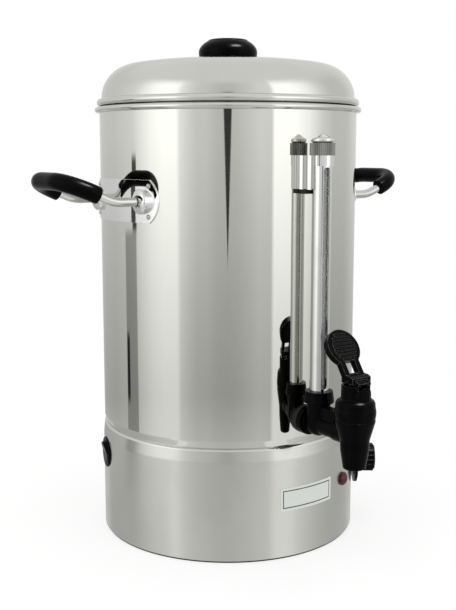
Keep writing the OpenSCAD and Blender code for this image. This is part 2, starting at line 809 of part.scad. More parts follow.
module tap_spring() {
    sides = 6;
    per_turn = 8;
    foot_z = seat_cup_z + seat_cup_h + stem_plate_t + spring_wire_d / 2 + 0.2;
    head_z = spring_top_z - spring_wire_d / 2 - 0.2;
    steps = spring_turns * per_turn;
    rings = [for (i = [0:steps]) let (a = 360 * i / per_turn, z = foot_z + (head_z - foot_z) * i / steps)
        [for (k = [0:sides - 1]) let (b = 360 * k / sides, r = spring_r + spring_wire_d / 2 * cos(b))
            [r * cos(a), r * sin(a), z + spring_wire_d / 2 * sin(b)]]];
    color("#a8a8a4") at_spout() skin(rings);
}

// Side outline of the lever's foot: a flat heel and a cam that lifts the stem evenly as it tips forward
function cam_line() =
    [for (i = [0:12])
        let (a = lever_travel * i / 12, p = pin_rise - part_gap + stem_lift_per_rad * a * PI / 180)
        [p * sin(a) + stem_lift_per_rad * cos(a), -p * cos(a) + stem_lift_per_rad * sin(a)]];

module tap_lever() {
    heel = 6.5;
    foot_top = 5.8;
    block_front = 6.6;
    block_top = 4.6;
    turn_r = norm([stem_top_r, stem_d / 2]) + part_gap;
    side_r = stem_d / 2 + part_gap;
    window = [9.4, 10];
    window_at = 6.8;
    arm_from = 5;
    rib_r = 0.8;
    rib_band = paddle_d / 2 - 3;
    fork_w = stem_d + 2 * part_gap;
    nose = max([for (p = cam_line()) p[0]]);
    color(black) translate([0, -tap_r, pin_z]) difference() {
        union() {
            // the foot's outline has forward as its x and up as its y
            rotate([90, 0, -90]) translate([0, 0, -lever_foot_w / 2]) linear_extrude(lever_foot_w)
                polygon(concat(
                    [[-heel, -pin_rise + part_gap]],
                    cam_line(),
                    [[nose, 0.8], [3.5, foot_top - 0.9], [-heel, foot_top]]));
            // block over the collar's wall, as wide as the arm
            rotate([90, 0, -90]) translate([0, 0, -lever_w / 2]) linear_extrude(lever_w)
                polygon([
                    [0.4 - heel, 0.1], [block_front, 0.1], [block_front, block_top],
                    [3.2, foot_top + 0.1], [0.4 - heel, foot_top + 0.5]]);
            rotate([-lever_lean, 0, 0]) {
                translate([-lever_w / 2, -lever_t / 2, arm_from])
                    cube([lever_w, lever_t, paddle_reach - arm_from]);
                translate([0, lever_t / 2, paddle_reach]) rotate([90, 0, 0])
                    cylinder(d = paddle_d, h = lever_t);
                for (i = [0:paddle_ribs - 1]) {
                    at = (i + 0.5) / paddle_ribs * 2 * rib_band - rib_band;
                    half = 0.8 * sqrt(rib_band * rib_band - at * at) + 1;
                    translate([-half, -lever_t / 2, paddle_reach + at]) rotate([0, 90, 0])
                        cylinder(r = rib_r, h = 2 * half);
                }
            }
        }
        // room for the stem as the lever tips over it
        translate([-fork_w / 2, -heel - 5, -pin_rise - 5]) cube([fork_w, 2 * heel + 10, pin_rise + 5]);
        rotate([0, 90, 0]) cylinder(r = turn_r, h = fork_w, center = true);
        rotate([90, 0, -90]) translate([0, 0, -fork_w / 2]) linear_extrude(fork_w) polygon([
            [-1, -1], side_r * [cos(lever_travel), sin(lever_travel)],
            [side_r / cos(lever_travel), 0], [side_r, -1]]);
        rotate([-lever_lean, 0, 0]) translate([-window[0] / 2, -lever_t, window_at])
            cube([window[0], 2 * lever_t, window[1]]);
        rotate([0, 90, 0]) cylinder(d = pin_d + 0.04, h = 2 * lever_w, center = true);
    }
}

module lever_pin() {
    color("#9a9a96") translate([0, -tap_r, pin_z]) rotate([0, 90, 0])
        cylinder(d = pin_d, h = lever_foot_w - 0.6, center = true);
}

module gauge_guard() {
    slot_z0 = socket_z + 2;
    slot_z1 = strap_z - strap_front_h - 1;
    color("#d0d0cc") at_gauge() difference() {
        tube(guard_d / 2, guard_d / 2 - guard_wall, guard_foot_z, guard_top_z);
        rotate([0, 0, -slot_turn]) {
            translate([-slot_w / 2, -guard_d, slot_z0 + slot_w / 2])
                cube([slot_w, guard_d, slot_z1 - slot_z0 - slot_w]);
            for (z = [slot_z0 + slot_w / 2, slot_z1 - slot_w / 2])
                translate([0, 0, z]) rotate([90, 0, 0]) cylinder(d = slot_w, h = guard_d);
        }
    }
}

module gauge_glass() {
    color("#dfe8e6", 0.5) at_gauge()
        tube(glass_d / 2, glass_d / 2 - glass_wall, glass_foot_z + 0.2, gland_top_z);
}

module gauge_seals() {
    color("#3a3a3a") at_gauge() {
        tube(seal_low_r, glass_d / 2 + 0.02, glass_foot_z + 0.2, guard_foot_z - 0.2);
        tube(gland_r, glass_d / 2 - glass_wall, gland_top_z, knurl_top_z);
    }
}

// Plan of the strap: round in front, straight sides running back to the tank
module strap_plan(r) {
    circle(r = r);
    translate([-r, 0]) square([2 * r, gauge_off + 8]);
}

module gauge_strap() {
    low_z = strap_z - strap_h;
    mid_z = strap_z - strap_front_h;
    color("#d0d0cc") difference() {
        intersection() {
            at_gauge() translate([-strap_out_r, 0, low_z]) cube([2 * strap_out_r, gauge_off + 8, strap_h]);
            drum(tank_r + push_fit + strap_t);
        }
        drum(tank_r + push_fit);
        each_strap_rivet() rod(rivet_d / 2 + hole_fit, tank_in_r - 5, tank_r + 8);
    }
    color("#d0d0cc") difference() {
        at_gauge() {
            translate([0, 0, mid_z]) linear_extrude(strap_front_h) difference() {
                strap_plan(strap_out_r);
                strap_plan(strap_in_r);
            }
            translate([0, 0, low_z]) linear_extrude(strap_h - strap_front_h) difference() {
                translate([-strap_out_r, 0]) square([2 * strap_out_r, gauge_off + 8]);
                translate([-strap_in_r, -1]) square([2 * strap_in_r, gauge_off + 10]);
            }
            translate([0, 0, strap_z - strap_t]) linear_extrude(strap_t) difference() {
                strap_plan(strap_out_r);
                circle(r = gland_r + hole_fit);
            }
        }
        drum(tank_r + push_fit + strap_t / 2);
    }
}

// Blind rivet along Z through the tank: domed head outside, upset end inside
module rivet(face_r) {
    rod(rivet_d / 2, tank_in_r - 0.1, face_r);
    rod(rivet_d * 0.75, tank_in_r - 1.2, tank_in_r - 0.1);
    translate([0, 0, face_r]) intersection() {
        ball = (rivet_head_r * rivet_head_r + rivet_head_h * rivet_head_h) / (2 * rivet_head_h);
        translate([0, 0, rivet_head_h - ball]) sphere(r = ball);
        cylinder(r = rivet_head_r, h = rivet_head_h + 1);
    }
}

module strap_rivets() {
    color("#9a9a96") each_strap_rivet() rivet(tank_r + push_fit + strap_t);
}

module gauge_gland() {
    low_z = strap_z - strap_t - gland_flange_t;
    color("#b8b8b2") at_gauge() difference() {
        union() {
            rod(gland_r, low_z, gland_top_z);
            rod(gland_flange_r, low_z, low_z + gland_flange_t);
        }
        rod(glass_d / 2 + run_fit, low_z - 1, gland_top_z + 1);
    }
}

module gauge_collar() {
    notch = 0.5;
    color("#8f8f8a") at_gauge() difference() {
        translate([0, 0, knurl_z]) linear_extrude(knurl_h) polygon([
            for (i = [0:2 * knurl_count - 1]) let (a = 180 * i / knurl_count)
                (knurl_d / 2 - notch * (i % 2)) * [cos(a), sin(a)]]);
        rod(gland_r + push_fit, knurl_z - 1, knurl_top_z + 1);
    }
}

module gauge_dome() {
    rim_r = knurl_d / 2 - 1;
    edge_r = 0.28 * dome_h;
    top = knurl_top_z + dome_h;
    color("#d6d6d2") at_gauge() rotate_extrude() polygon(concat(
        [[0, knurl_top_z]],
        arc([rim_r - edge_r, knurl_top_z + edge_r], edge_r, -90, 80, 12),
        [[rim_r - 2.2, knurl_top_z + 2.1 * edge_r], [3.1, top - 0.15 * dome_h], [2.2, top - 0.07 * dome_h]],
        [[1.1, top - 0.02 * dome_h], [0, top]]));
}

// Plan of a handle plate, seen square on: straight edges, round ends
module plate_outline() {
    half = asin(plate_h / 2 / plate_end_r);
    polygon(concat(
        arc([plate_w / 2 - plate_end_r, 0], plate_end_r, -half, half, 14),
        arc([plate_end_r - plate_w / 2, 0], plate_end_r, 180 - half, 180 + half, 14)));
}

// Round dome of a handle plate, solid, pointing outwards along X
module boss(r, top) {
    wall = boss_wall - boss_r + r;
    rotate([0, 90, 0]) rotate_extrude() polygon(concat(
        [[0, -boss_r], [r, -boss_r]],
        [for (i = [0:12]) let (a = 85 * i / 12) [r * cos(a), wall + (top - wall) * sin(a)]],
        [[0, top]]));
}

module each_boss() {
    for (side = [-1, 1]) translate([boss_x, side * leg_y, handle_z]) children();
}

module handle_plate(turn) {
    color("#d0d0cc") difference() {
        rotate([0, 0, turn]) difference() {
            union() {
                intersection() {
                    translate([0, 0, handle_z]) tube(plate_out_r, plate_in_r, -plate_h, plate_h, $fn = 360);
                    translate([0, 0, handle_z]) rotate([90, 0, 90])
                        linear_extrude(2 * tank_r) plate_outline();
                }
                difference() {
                    each_boss() boss(boss_r, boss_top);
                    drum(plate_in_r + handle_plate_t / 2);
                }
            }
            each_boss() boss(boss_in_r, boss_top - 1);
            each_boss() rotate([0, 90, 0]) cylinder(r = boss_mouth_r, h = 2 * boss_r);
        }
        each_rivet() rod(rivet_d / 2 + hole_fit, tank_in_r - 5, tank_r + 8);
    }
}

// Straight bar along X that laps a little into the bends at its ends
module bar(r, x0, x1) {
    translate([x0 - bar_lap, 0, 0]) rotate([0, 90, 0])
        cylinder(r = r - bar_step, h = x1 - x0 + 2 * bar_lap);
}

// Far part of a handle's bent bar: two tails, two bends and the bar between them
module grip_path(r, tail) {
    run = grip_run - grip_bend_r;
    translate([knee_x, 0, handle_z]) rotate([0, -handle_rise, 0]) {
        for (side = [-1, 1]) {
            translate([0, side * leg_y, 0]) bar(r, run - tail, run);
            translate([run, side * (leg_y - grip_bend_r), 0]) rotate([0, 0, side > 0 ? 0 : -90])
                rotate_extrude(angle = 90) translate([grip_bend_r, 0]) circle(r = r);
        }
        translate([grip_run, 0, 0]) rotate([0, 0, 90]) bar(r, grip_bend_r - leg_y, leg_y - grip_bend_r);
    }
}

module handle_rod(turn) {
    r = rod_d / 2;
    color("#b8b8b4") rotate([0, 0, turn]) {
        for (side = [-1, 1]) translate([0, side * leg_y, handle_z]) {
            translate([rod_head_x - rod_head_t, 0, 0]) rotate([0, 90, 0])
                cylinder(r = rod_head_r, h = rod_head_t);
            bar(r, rod_head_x, knee_x - knee_half);
            translate([knee_x - knee_half, 0, knee_r]) rotate([90, 0, 0]) rotate([0, 0, -90])
                rotate_extrude(angle = handle_rise) translate([knee_r, 0]) circle(r = r);
        }
        grip_path(r, grip_run - grip_bend_r - knee_half);
    }
}

module handle_grip(turn) {
    color(black) rotate([0, 0, turn]) difference() {
        grip_path(grip_d / 2, grip_tail);
        grip_path(rod_d / 2 + push_fit, grip_tail + 1);
    }
}

module handle_plate_left() { handle_plate(180); }

module handle_plate_right() { handle_plate(0); }

module handle_rod_left() { handle_rod(180); }

module handle_rod_right() { handle_rod(0); }

module handle_grip_left() { handle_grip(180); }

module handle_grip_right() { handle_grip(0); }

module handle_rivets() { color("#9a9a96") each_rivet() rivet(plate_out_r); }

module thermostat() {
    back_r = stat_face_r - stat_depth;
    flange_t1 = 1.4;
    lug_h = stat_screw_gap + 10;
    color("#2b2b2b") facing(knob_turn, knob_z) difference() {
        union() {
            translate([-stat_size / 2, -stat_size / 2 + 6, back_r])
                cube([stat_size, stat_size - 12, stat_depth]);
            translate([-stat_size / 2, -lug_h / 2, stat_face_r - flange_t1])
                cube([stat_size, lug_h, flange_t1]);
            for (side = [-1, 1]) translate([side * 9 - 3, -4, back_r - 8]) cube([6, 0.8, 9]);
        }
        rod(shaft_d / 2 + run_fit, back_r + 4, stat_face_r + 1);
        for (side = [-1, 1]) translate([0, side * stat_screw_gap / 2, 0])
            rod(stat_screw_d / 2 + push_fit, stat_face_r - 8, stat_face_r + 1);
    }
}

module thermostat_screws() {
    color("#8c8c88") facing(knob_turn, knob_z)
        for (side = [-1, 1]) translate([0, side * stat_screw_gap / 2, 0]) {
            rod(stat_screw_d / 2, stat_face_r - 3, base_r + 0.1);
            difference() {
                rod(stat_screw_d * 0.85, base_r, base_r + 1.5);
                translate([-4, -0.4, base_r + 0.8]) cube([8, 0.8, 2]);
            }
        }
}

module thermostat_shaft() {
    color("#9a9a96") facing(knob_turn, knob_z)
        rod(shaft_d / 2, stat_face_r - stat_depth + 4.3, base_r + knob_out - 4);
}

module thermostat_knob() {
    z0 = base_r + knob_gap;
    top = base_r + knob_out;
    flare = 3.4;
    grip_r = knob_grip_d / 2 - 0.8;
    skirt_r = dial_d / 2 - 1.5;
    color(black) facing(knob_turn, knob_z) difference() {
        union() {
            rotate_extrude() polygon(concat(
                [[0, z0], [dial_d / 2, z0], [dial_d / 2, z0 + dial_t]],
                [for (i = [0:6]) let (a = 90 * i / 6)
                    [skirt_r - (skirt_r - grip_r) * sin(a), z0 + dial_t + 0.4 + flare * (1 - cos(a))]],
                [[grip_r, top - 1], [grip_r - 1, top], [0, top]]));
            for (i = [0:knob_ribs - 1]) rotate([0, 0, 360 * i / knob_ribs]) translate([grip_r, 0, 0])
                rod(0.9, z0 + dial_t, top - 1.2);
            translate([0, 0, top - 0.1]) translate([-0.7, 0, 0]) cube([1.4, grip_r - 1.5, 0.6]);
        }
        rod(shaft_d / 2 + 0.02, z0 - 1, base_r + knob_out - 3.8);
    }
}

module at_bulb(part) {
    translate([bulb_off, bulb_l * (0.39 - part), floor_under_z - bulb_d / 2 - 0.1])
        rotate([90, 0, 0]) children();
}

module sensor_bulb() {
    color("#b87333") at_bulb(0) cylinder(d = bulb_d, h = bulb_l);
}

module sensor_clips() {
    r = bulb_d / 2 + push_fit;
    clip_t = 1;
    clip_w = 8;
    foot_w = 3 * bulb_d;
    color("#9a9a96") for (part = [0.26, 0.81]) at_bulb(part) difference() {
        union() {
            cylinder(r = r + clip_t, h = clip_w, center = true);
            translate([-foot_w / 2, r - clip_t, -clip_w / 2]) cube([foot_w, clip_t, clip_w]);
        }
        cylinder(r = r, h = 2 * clip_w, center = true);
        translate([-foot_w, r, -clip_w]) cube([2 * foot_w, 2 * bulb_d, 2 * clip_w]);
        translate([-r, 0, -clip_w]) cube([2 * r, 2 * bulb_d, 2 * clip_w]);
    }
}

module boil_dry_cutout() {
    top = floor_under_z - 0.05;
    rim_t = 1.6;
    can_h = 10;
    tab_w = 4.8;
    color("#2b2b2b") translate([-cutout_d, -10, 0]) {
        rod(cutout_d / 2, top - rim_t, top);
        rod(0.35 * cutout_d, top - can_h, top - rim_t + 0.1);
        for (side = [-1, 1]) translate([side * 5 - tab_w / 2, -0.4, top - can_h - 9])
            cube([tab_w, 0.8, 10]);
    }
}

module terminal_block() {
    pitch = block_w / block_poles;
    color("#e4e2da") translate([-block_w / 2, block_off, plate_z + plate_t]) difference() {
        cube([block_w, block_d, block_h]);
        for (i = [0:block_poles - 1]) translate([pitch * (i + 0.5), 0, 0]) {
            translate([0, block_d / 2, 0]) rod(0.2 * pitch, 0.4 * block_h, block_h + 1);
            translate([0, 0, 0.5 * block_h]) rotate([-90, 0, 0]) rod(0.18 * pitch, -1, block_d + 1);
        }
    }
}

module heating_element() {
    r = element_leg_r;
    collar_z0 = floor_z + element_seal_t;
    color("#a9a49a") {
        rotate([0, 0, 90 + element_gap / 2]) rotate_extrude(angle = 360 - element_gap)
            translate([element_r, 0]) translate([0, element_z]) circle(r = r);
        for (side = [-1, 1]) rotate([0, 0, side * element_gap / 2])
            translate([0, element_r, element_z - element_bend_r]) rotate([90, 0, 0])
                rotate([0, 0, side > 0 ? 0 : 90]) rotate_extrude(angle = 90)
                    translate([element_bend_r, 0]) circle(r = r);
        each_element_leg() {
            rod(r - bar_step, floor_under_z - element_tail, element_z - element_bend_r + bar_lap);
            rod(element_flange_r - 0.6, collar_z0, collar_z0 + element_collar_t);
            translate([-3.2, -0.5, floor_under_z - element_tail - 9]) cube([6.4, 1, 9.5]);
        }
    }
}

module element_seals() {
    color("#b5482e") each_element_leg()
        tube(element_flange_r, element_leg_r + hole_fit, floor_z, floor_z + element_seal_t);
}

module element_nuts() {
    low_z = floor_under_z - element_nut_t;
    color("#b8a46a") each_element_leg()
        hex_nut(2.4 * element_flange_r, element_leg_r + push_fit, low_z, floor_under_z);
}

module lamp_lens() {
    r = lens_d / 2;
    rim = 1.6;
    rise = lens_out - rim;
    ball = (r * r + rise * rise) / (2 * rise);
    color("#8a1c1c") difference() {
        facing(lamp_turn, lamp_z) rotate_extrude() polygon(concat(
            [[0, base_r - 2], [r, base_r - 2]],
            arc([0, base_r + lens_out - ball], ball, acos(r / ball), 90, 10)));
        drum(base_r + push_fit);
    }
}

module lamp_body() {
    color("#e4e2da") difference() {
        facing(lamp_turn, lamp_z) {
            rod(lamp_body_d / 2, base_in_r - 22, base_r + 2);
            for (side = [-1, 1]) translate([side * 2.2 - 1.4, -0.4, base_in_r - 31]) cube([2.8, 0.8, 10]);
        }
        difference() {
            drum(base_r + 20);
            drum(base_r);
        }
    }
}

module lamp_nut() {
    flat_r = sqrt(pow(base_in_r, 2) - pow(lamp_body_d, 2)) - 0.1;
    color("#9a9a96") facing(lamp_turn, lamp_z)
        tube(lamp_body_d, lamp_body_d / 2 + push_fit, flat_r - 1.4, flat_r);
}

module switch_housing() {
    floor_r0 = rocker_axis_r - rocker_r;
    back_r = base_in_r - 24;
    tab_w = 4.8;
    color(black) difference() {
        union() {
            facing(switch_turn, switch_z) {
                rod(switch_neck_r, back_r, base_r + bezel_out - 0.4);
                for (x = [-5, 5]) translate([x - tab_w / 2, -0.4, back_r - 8]) cube([tab_w, 0.8, 9]);
            }
            difference() {
                facing(switch_turn, switch_z) rotate_extrude() polygon([
                    [0, base_r - 3], [bezel_d / 2, base_r - 3], [bezel_d / 2, base_r + bezel_out - 0.6],
                    [bezel_d / 2 - 0.8, base_r + bezel_out], [0, base_r + bezel_out]]);
                drum(base_r + push_fit);
            }
        }
        facing(switch_turn, switch_z) {
            rod(pocket_r, floor_r0, base_r + bezel_out + 1);
            translate([0, 0, rocker_axis_r]) rotate([0, 90, 0])
                cylinder(d = rocker_pin_d + 2 * run_fit, h = 2 * switch_neck_r + 1, center = true);
        }
    }
}

module switch_rocker() {
    tip = rocker_travel / 2;
    ridge = base_r - rocker_axis_r + 1.6;
    color(black) facing(switch_turn, switch_z) translate([0, 0, rocker_axis_r]) rotate([tip, 0, 0]) {
        difference() {
            sphere(r = rocker_r);
            for (side = [-1, 1]) translate([0, 0, ridge]) rotate([side * tip, 0, 0])
                translate([-20, side > 0 ? 0 : -40, 0]) cube([40, 40, 40]);
            translate([-20, -20, -0.7 * rocker_r - 40]) cube([40, 40, 40]);
        }
        rotate([0, 90, 0]) cylinder(d = rocker_pin_d, h = 2 * switch_neck_r - 0.2, center = true);
    }
}

module cord_gland() {
    nose_r = gland_bore_d / 2 + 2.4;
    flange_r = gland_thread_d / 2 + 4;
    color(black) difference() {
        union() {
            facing(180, gland_z) rod(gland_thread_d / 2, base_in_r - 14, base_r + 2);
            difference() {
                facing(180, gland_z) rotate_extrude() polygon([
                    [0, base_r - 2], [flange_r, base_r - 2], [flange_r, base_r + 3],
                    [flange_r - 2, base_r + 4.5], [nose_r, base_r + gland_out - 1],
                    [nose_r - 1, base_r + gland_out], [0, base_r + gland_out]]);
                drum(base_r + push_fit);
            }
        }
        facing(180, gland_z) rod(gland_bore_d / 2, base_in_r - 15, base_r + gland_out + 1);
    }
}

module cord_gland_nut() {
    flat_r = sqrt(pow(base_in_r, 2) - pow(gland_thread_d * 0.8, 2)) - 0.1;
    color(black) facing(180, gland_z)
        hex_nut(gland_thread_d * 1.6, gland_thread_d / 2 + push_fit, flat_r - 5, flat_r);
}

tank();
tank_floor();
base_skirt();
base_plate();
base_brackets();
base_screws();
foot_ring();
lid_shell();
lid_locating_ring();
lid_knob();
lid_knob_screw();
lid_knob_washer();
tap_shank();
tap_outer_seal();
tap_inner_seal();
tap_back_nut();
tap_body();
tap_bonnet();
tap_stem();
tap_seat_cup();
tap_spring();
tap_lever();
lever_pin();
gauge_guard();
gauge_glass();
gauge_seals();
gauge_strap();
strap_rivets();
gauge_gland();
gauge_collar();
gauge_dome();
handle_plate_left();
handle_plate_right();
handle_rod_left();
handle_rod_right();
handle_grip_left();
handle_grip_right();
handle_rivets();
thermostat();
thermostat_screws();
thermostat_shaft();
thermostat_knob();
sensor_bulb();
sensor_clips();
boil_dry_cutout();
terminal_block();
heating_element();
element_seals();
element_nuts();
lamp_lens();
lamp_body();
lamp_nut();
switch_housing();
switch_rocker();
cord_gland();
cord_gland_nut();
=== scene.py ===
"""Visual scene of the hot water urn: smooth turned skins over the CAD frame, finishes, studio and camera."""

from __future__ import annotations

import json
import logging
import math
from dataclasses import dataclass, field, replace
from enum import Enum
from typing import ClassVar

import bpy
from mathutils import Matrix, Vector

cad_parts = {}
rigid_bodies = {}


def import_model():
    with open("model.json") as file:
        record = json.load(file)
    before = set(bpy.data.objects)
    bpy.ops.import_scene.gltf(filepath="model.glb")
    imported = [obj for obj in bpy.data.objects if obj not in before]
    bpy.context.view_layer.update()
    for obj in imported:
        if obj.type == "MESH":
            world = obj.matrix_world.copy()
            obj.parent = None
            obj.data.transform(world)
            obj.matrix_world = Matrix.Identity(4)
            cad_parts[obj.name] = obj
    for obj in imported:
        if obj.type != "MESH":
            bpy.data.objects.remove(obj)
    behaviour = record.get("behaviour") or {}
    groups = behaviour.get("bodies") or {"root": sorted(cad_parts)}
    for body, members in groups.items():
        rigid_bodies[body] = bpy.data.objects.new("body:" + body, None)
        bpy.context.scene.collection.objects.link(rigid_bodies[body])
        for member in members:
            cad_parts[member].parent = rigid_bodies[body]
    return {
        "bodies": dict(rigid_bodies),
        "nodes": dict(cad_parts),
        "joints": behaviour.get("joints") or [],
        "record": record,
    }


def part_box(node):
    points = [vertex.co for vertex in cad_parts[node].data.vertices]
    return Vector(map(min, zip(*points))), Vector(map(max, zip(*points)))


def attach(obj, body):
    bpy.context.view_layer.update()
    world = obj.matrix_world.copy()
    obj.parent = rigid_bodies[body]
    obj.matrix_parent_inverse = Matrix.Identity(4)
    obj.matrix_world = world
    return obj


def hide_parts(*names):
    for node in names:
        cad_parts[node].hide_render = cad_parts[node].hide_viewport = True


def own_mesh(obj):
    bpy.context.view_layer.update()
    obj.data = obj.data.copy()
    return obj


LOG = logging.getLogger("urn")
# Metres in a millimetre.
MM = 0.001
# Direction of the camera from the tap, in degrees.
FACING = -34.6
# Colour inputs and colour output of a mix node, which has sockets for other kinds of data too.
MIX_FIRST, MIX_SECOND, MIX_OUT = 6, 7, 2
Pair = tuple[float, float]
Point = tuple[float, float, float]
Colour = tuple[float, float, float]
Socket = bpy.types.NodeSocket


class Body(str, Enum):
    """CAD bodies that the pieces made here ride on."""

    URN = "urn"
    LID = "lid"


class Pattern(str, Enum):
    """Fine surface patterns, each made by one node group."""

    SHEET = "polished sheet"
    SATIN = "satin sheet"
    PLATED = "plated skin"
    BOWED = "bowed sheet"
    GRAIN = "rolled grain"
    MOULDED = "moulded skin"
    DRAWN = "drawn glass"
    BORDER = "label border"


@dataclass(frozen=True)
class Finish:
    """One surface finish.

    Attributes:
        name: Material name.
        colour: Base colour, linear.
        metallic: Principled metallic value.
        roughness: Principled roughness.
        pattern: Fine pattern on the surface.
        depth: Strength of that pattern's relief.
        smear: How much rougher the surface is in patches.
        second: Colour that the pattern mixes in, and that the painted edge highlight shows.
        share: How much of that colour it mixes in.
        specular: Specular level of a plastic.
        transmission: Share of light that passes through.
        alpha: Share of the surface that covers what is behind it.
        bevel: Radius of the softened edges, in metres.
        edge_highlight: Share of the second colour that shows along the edges, a painted highlight.
    """

    name: str
    colour: Colour
    metallic: float
    roughness: float
    pattern: Pattern
    depth: float = 0.1
    smear: float = 0.05
    second: Colour = (0.5, 0.5, 0.5)
    share: float = 0.0
    specular: float = 0.5
    transmission: float = 0.0
    alpha: float = 1.0
    bevel: float = 0.0
    edge_highlight: float = 0.0


POLISHED = Finish(
    "polished steel", (0.635, 0.64, 0.60), metallic=1.0, roughness=0.035, pattern=Pattern.SHEET,
    depth=0.10, smear=0.035, second=(0.58, 0.585, 0.54), share=0.5,
)
LID_STEEL = replace(POLISHED, name="soft polished steel", roughness=0.12, smear=0.04)
SATIN = Finish(
    "satin steel", (0.64, 0.645, 0.605), metallic=1.0, roughness=0.20, pattern=Pattern.SATIN,
    depth=0.12, smear=0.06, second=(0.57, 0.575, 0.53), share=0.6,
)
BRIGHT = Finish(
    "bright plating", (0.74, 0.745, 0.73), metallic=1.0, roughness=0.035, pattern=Pattern.PLATED,
    depth=0.1, smear=0.05, second=(0.62, 0.62, 0.60), share=0.5, bevel=0.0003,
)
ROD = replace(
    BRIGHT, name="polished rod", colour=(0.58, 0.585, 0.56), roughness=0.10, smear=0.06,
    second=(0.50, 0.50, 0.48),
)
STRAP = replace(
    BRIGHT, name="bright strap", roughness=0.03, pattern=Pattern.BOWED, depth=0.5, smear=0.04,
    share=0.4, bevel=0.0,
)
KNURLED = Finish(
    "knurled metal", (0.23, 0.235, 0.22), metallic=1.0, roughness=0.42, pattern=Pattern.GRAIN,
    depth=0.3, smear=0.1, second=(0.33, 0.33, 0.31), share=0.6,
)
STEEL = replace(
    KNURLED, name="plain steel", colour=(0.50, 0.50, 0.48), roughness=0.30, second=(0.40, 0.40, 0.38)
)
BRASS = replace(
    KNURLED, name="yellow metal", colour=(0.62, 0.42, 0.17), roughness=0.28, second=(0.50, 0.32, 0.12)
)
# Black plastic whose edges get a painted highlight in the second colour.
BLACK = Finish(
    "black plastic", (0.0008, 0.0008, 0.0009), metallic=0.0, roughness=0.22, pattern=Pattern.MOULDED,
    depth=0.05, smear=0.10, second=(0.022, 0.022, 0.023), share=0.06, specular=0.04, bevel=0.0006, edge_highlight=0.6,
)
# Black plastic of the lever, with a stronger painted highlight in a lighter second colour along its ribs and
# edges.
BLACK_RIB_HIGHLIGHT = replace(BLACK, name="black plastic with painted rib highlight", second=(0.15, 0.15, 0.155), share=0.01, edge_highlight=0.9)
DARK = Finish(
    "dark plastic", (0.03, 0.03, 0.03), metallic=0.0, roughness=0.5, pattern=Pattern.MOULDED,
    depth=0.05, smear=0.1, second=(0.05, 0.05, 0.05), share=0.4,
)
WHITE = Finish(
    "white plastic", (0.80, 0.79, 0.75), metallic=0.0, roughness=0.45, pattern=Pattern.MOULDED,
    depth=0.03, smear=0.1, second=(0.72, 0.70, 0.64), share=0.5,
)
RUBBER = Finish(
    "black rubber", (0.011, 0.011, 0.011), metallic=0.0, roughness=0.65, pattern=Pattern.MOULDED,
    depth=0.1, smear=0.15, second=(0.03, 0.03, 0.03), share=0.5, specular=0.3,
)
PALE_RUBBER = Finish(
    "pale silicone", (0.72, 0.68, 0.60), metallic=0.0, roughness=0.55, pattern=Pattern.MOULDED,
    depth=0.1, smear=0.1, second=(0.6, 0.55, 0.47), share=0.5,
)
RED_RUBBER = replace(PALE_RUBBER, name="red silicone", colour=(0.40, 0.09, 0.04), second=(0.30, 0.06, 0.03))
# Half-opaque pale glass: its pale colour is painted light in the gauge's slot, in place of the light that
# would shine through.
GLASS = Finish(
    "gauge glass", (0.74, 0.77, 0.75), metallic=0.0, roughness=0.12, pattern=Pattern.DRAWN,
    depth=0.02, smear=0.05, second=(0.62, 0.66, 0.64), share=0.5, transmission=0.5, alpha=0.5,
)
LENS = Finish(
    "red lens", (0.075, 0.004, 0.006), metallic=0.0, roughness=0.16, pattern=Pattern.DRAWN,
    depth=0.1, smear=0.05, second=(0.035, 0.002, 0.003), share=0.6, specular=0.4, transmission=0.2,
)
PAPER = Finish(
    "blank label", (0.64, 0.665, 0.635), metallic=0.0, roughness=0.45, pattern=Pattern.BORDER,
    depth=0.0, smear=0.0, second=(0.008, 0.008, 0.008), share=1.0, specular=0.3,
)

SLOT_FINISH: dict[str, Finish] = {
    "polished_steel": POLISHED,
    "satin_steel": SATIN,
    "bright_metal": BRIGHT,
    "grey_metal": KNURLED,
    "plain_steel": STEEL,
    "black_plastic": BLACK,
    "dark_plastic": DARK,
    "white_plastic": WHITE,
    "black_rubber": RUBBER,
    "pale_rubber": PALE_RUBBER,
    "red_rubber": RED_RUBBER,
    "clear_glass": GLASS,
    "red_lens": LENS,
    "yellow_metal": BRASS,
}


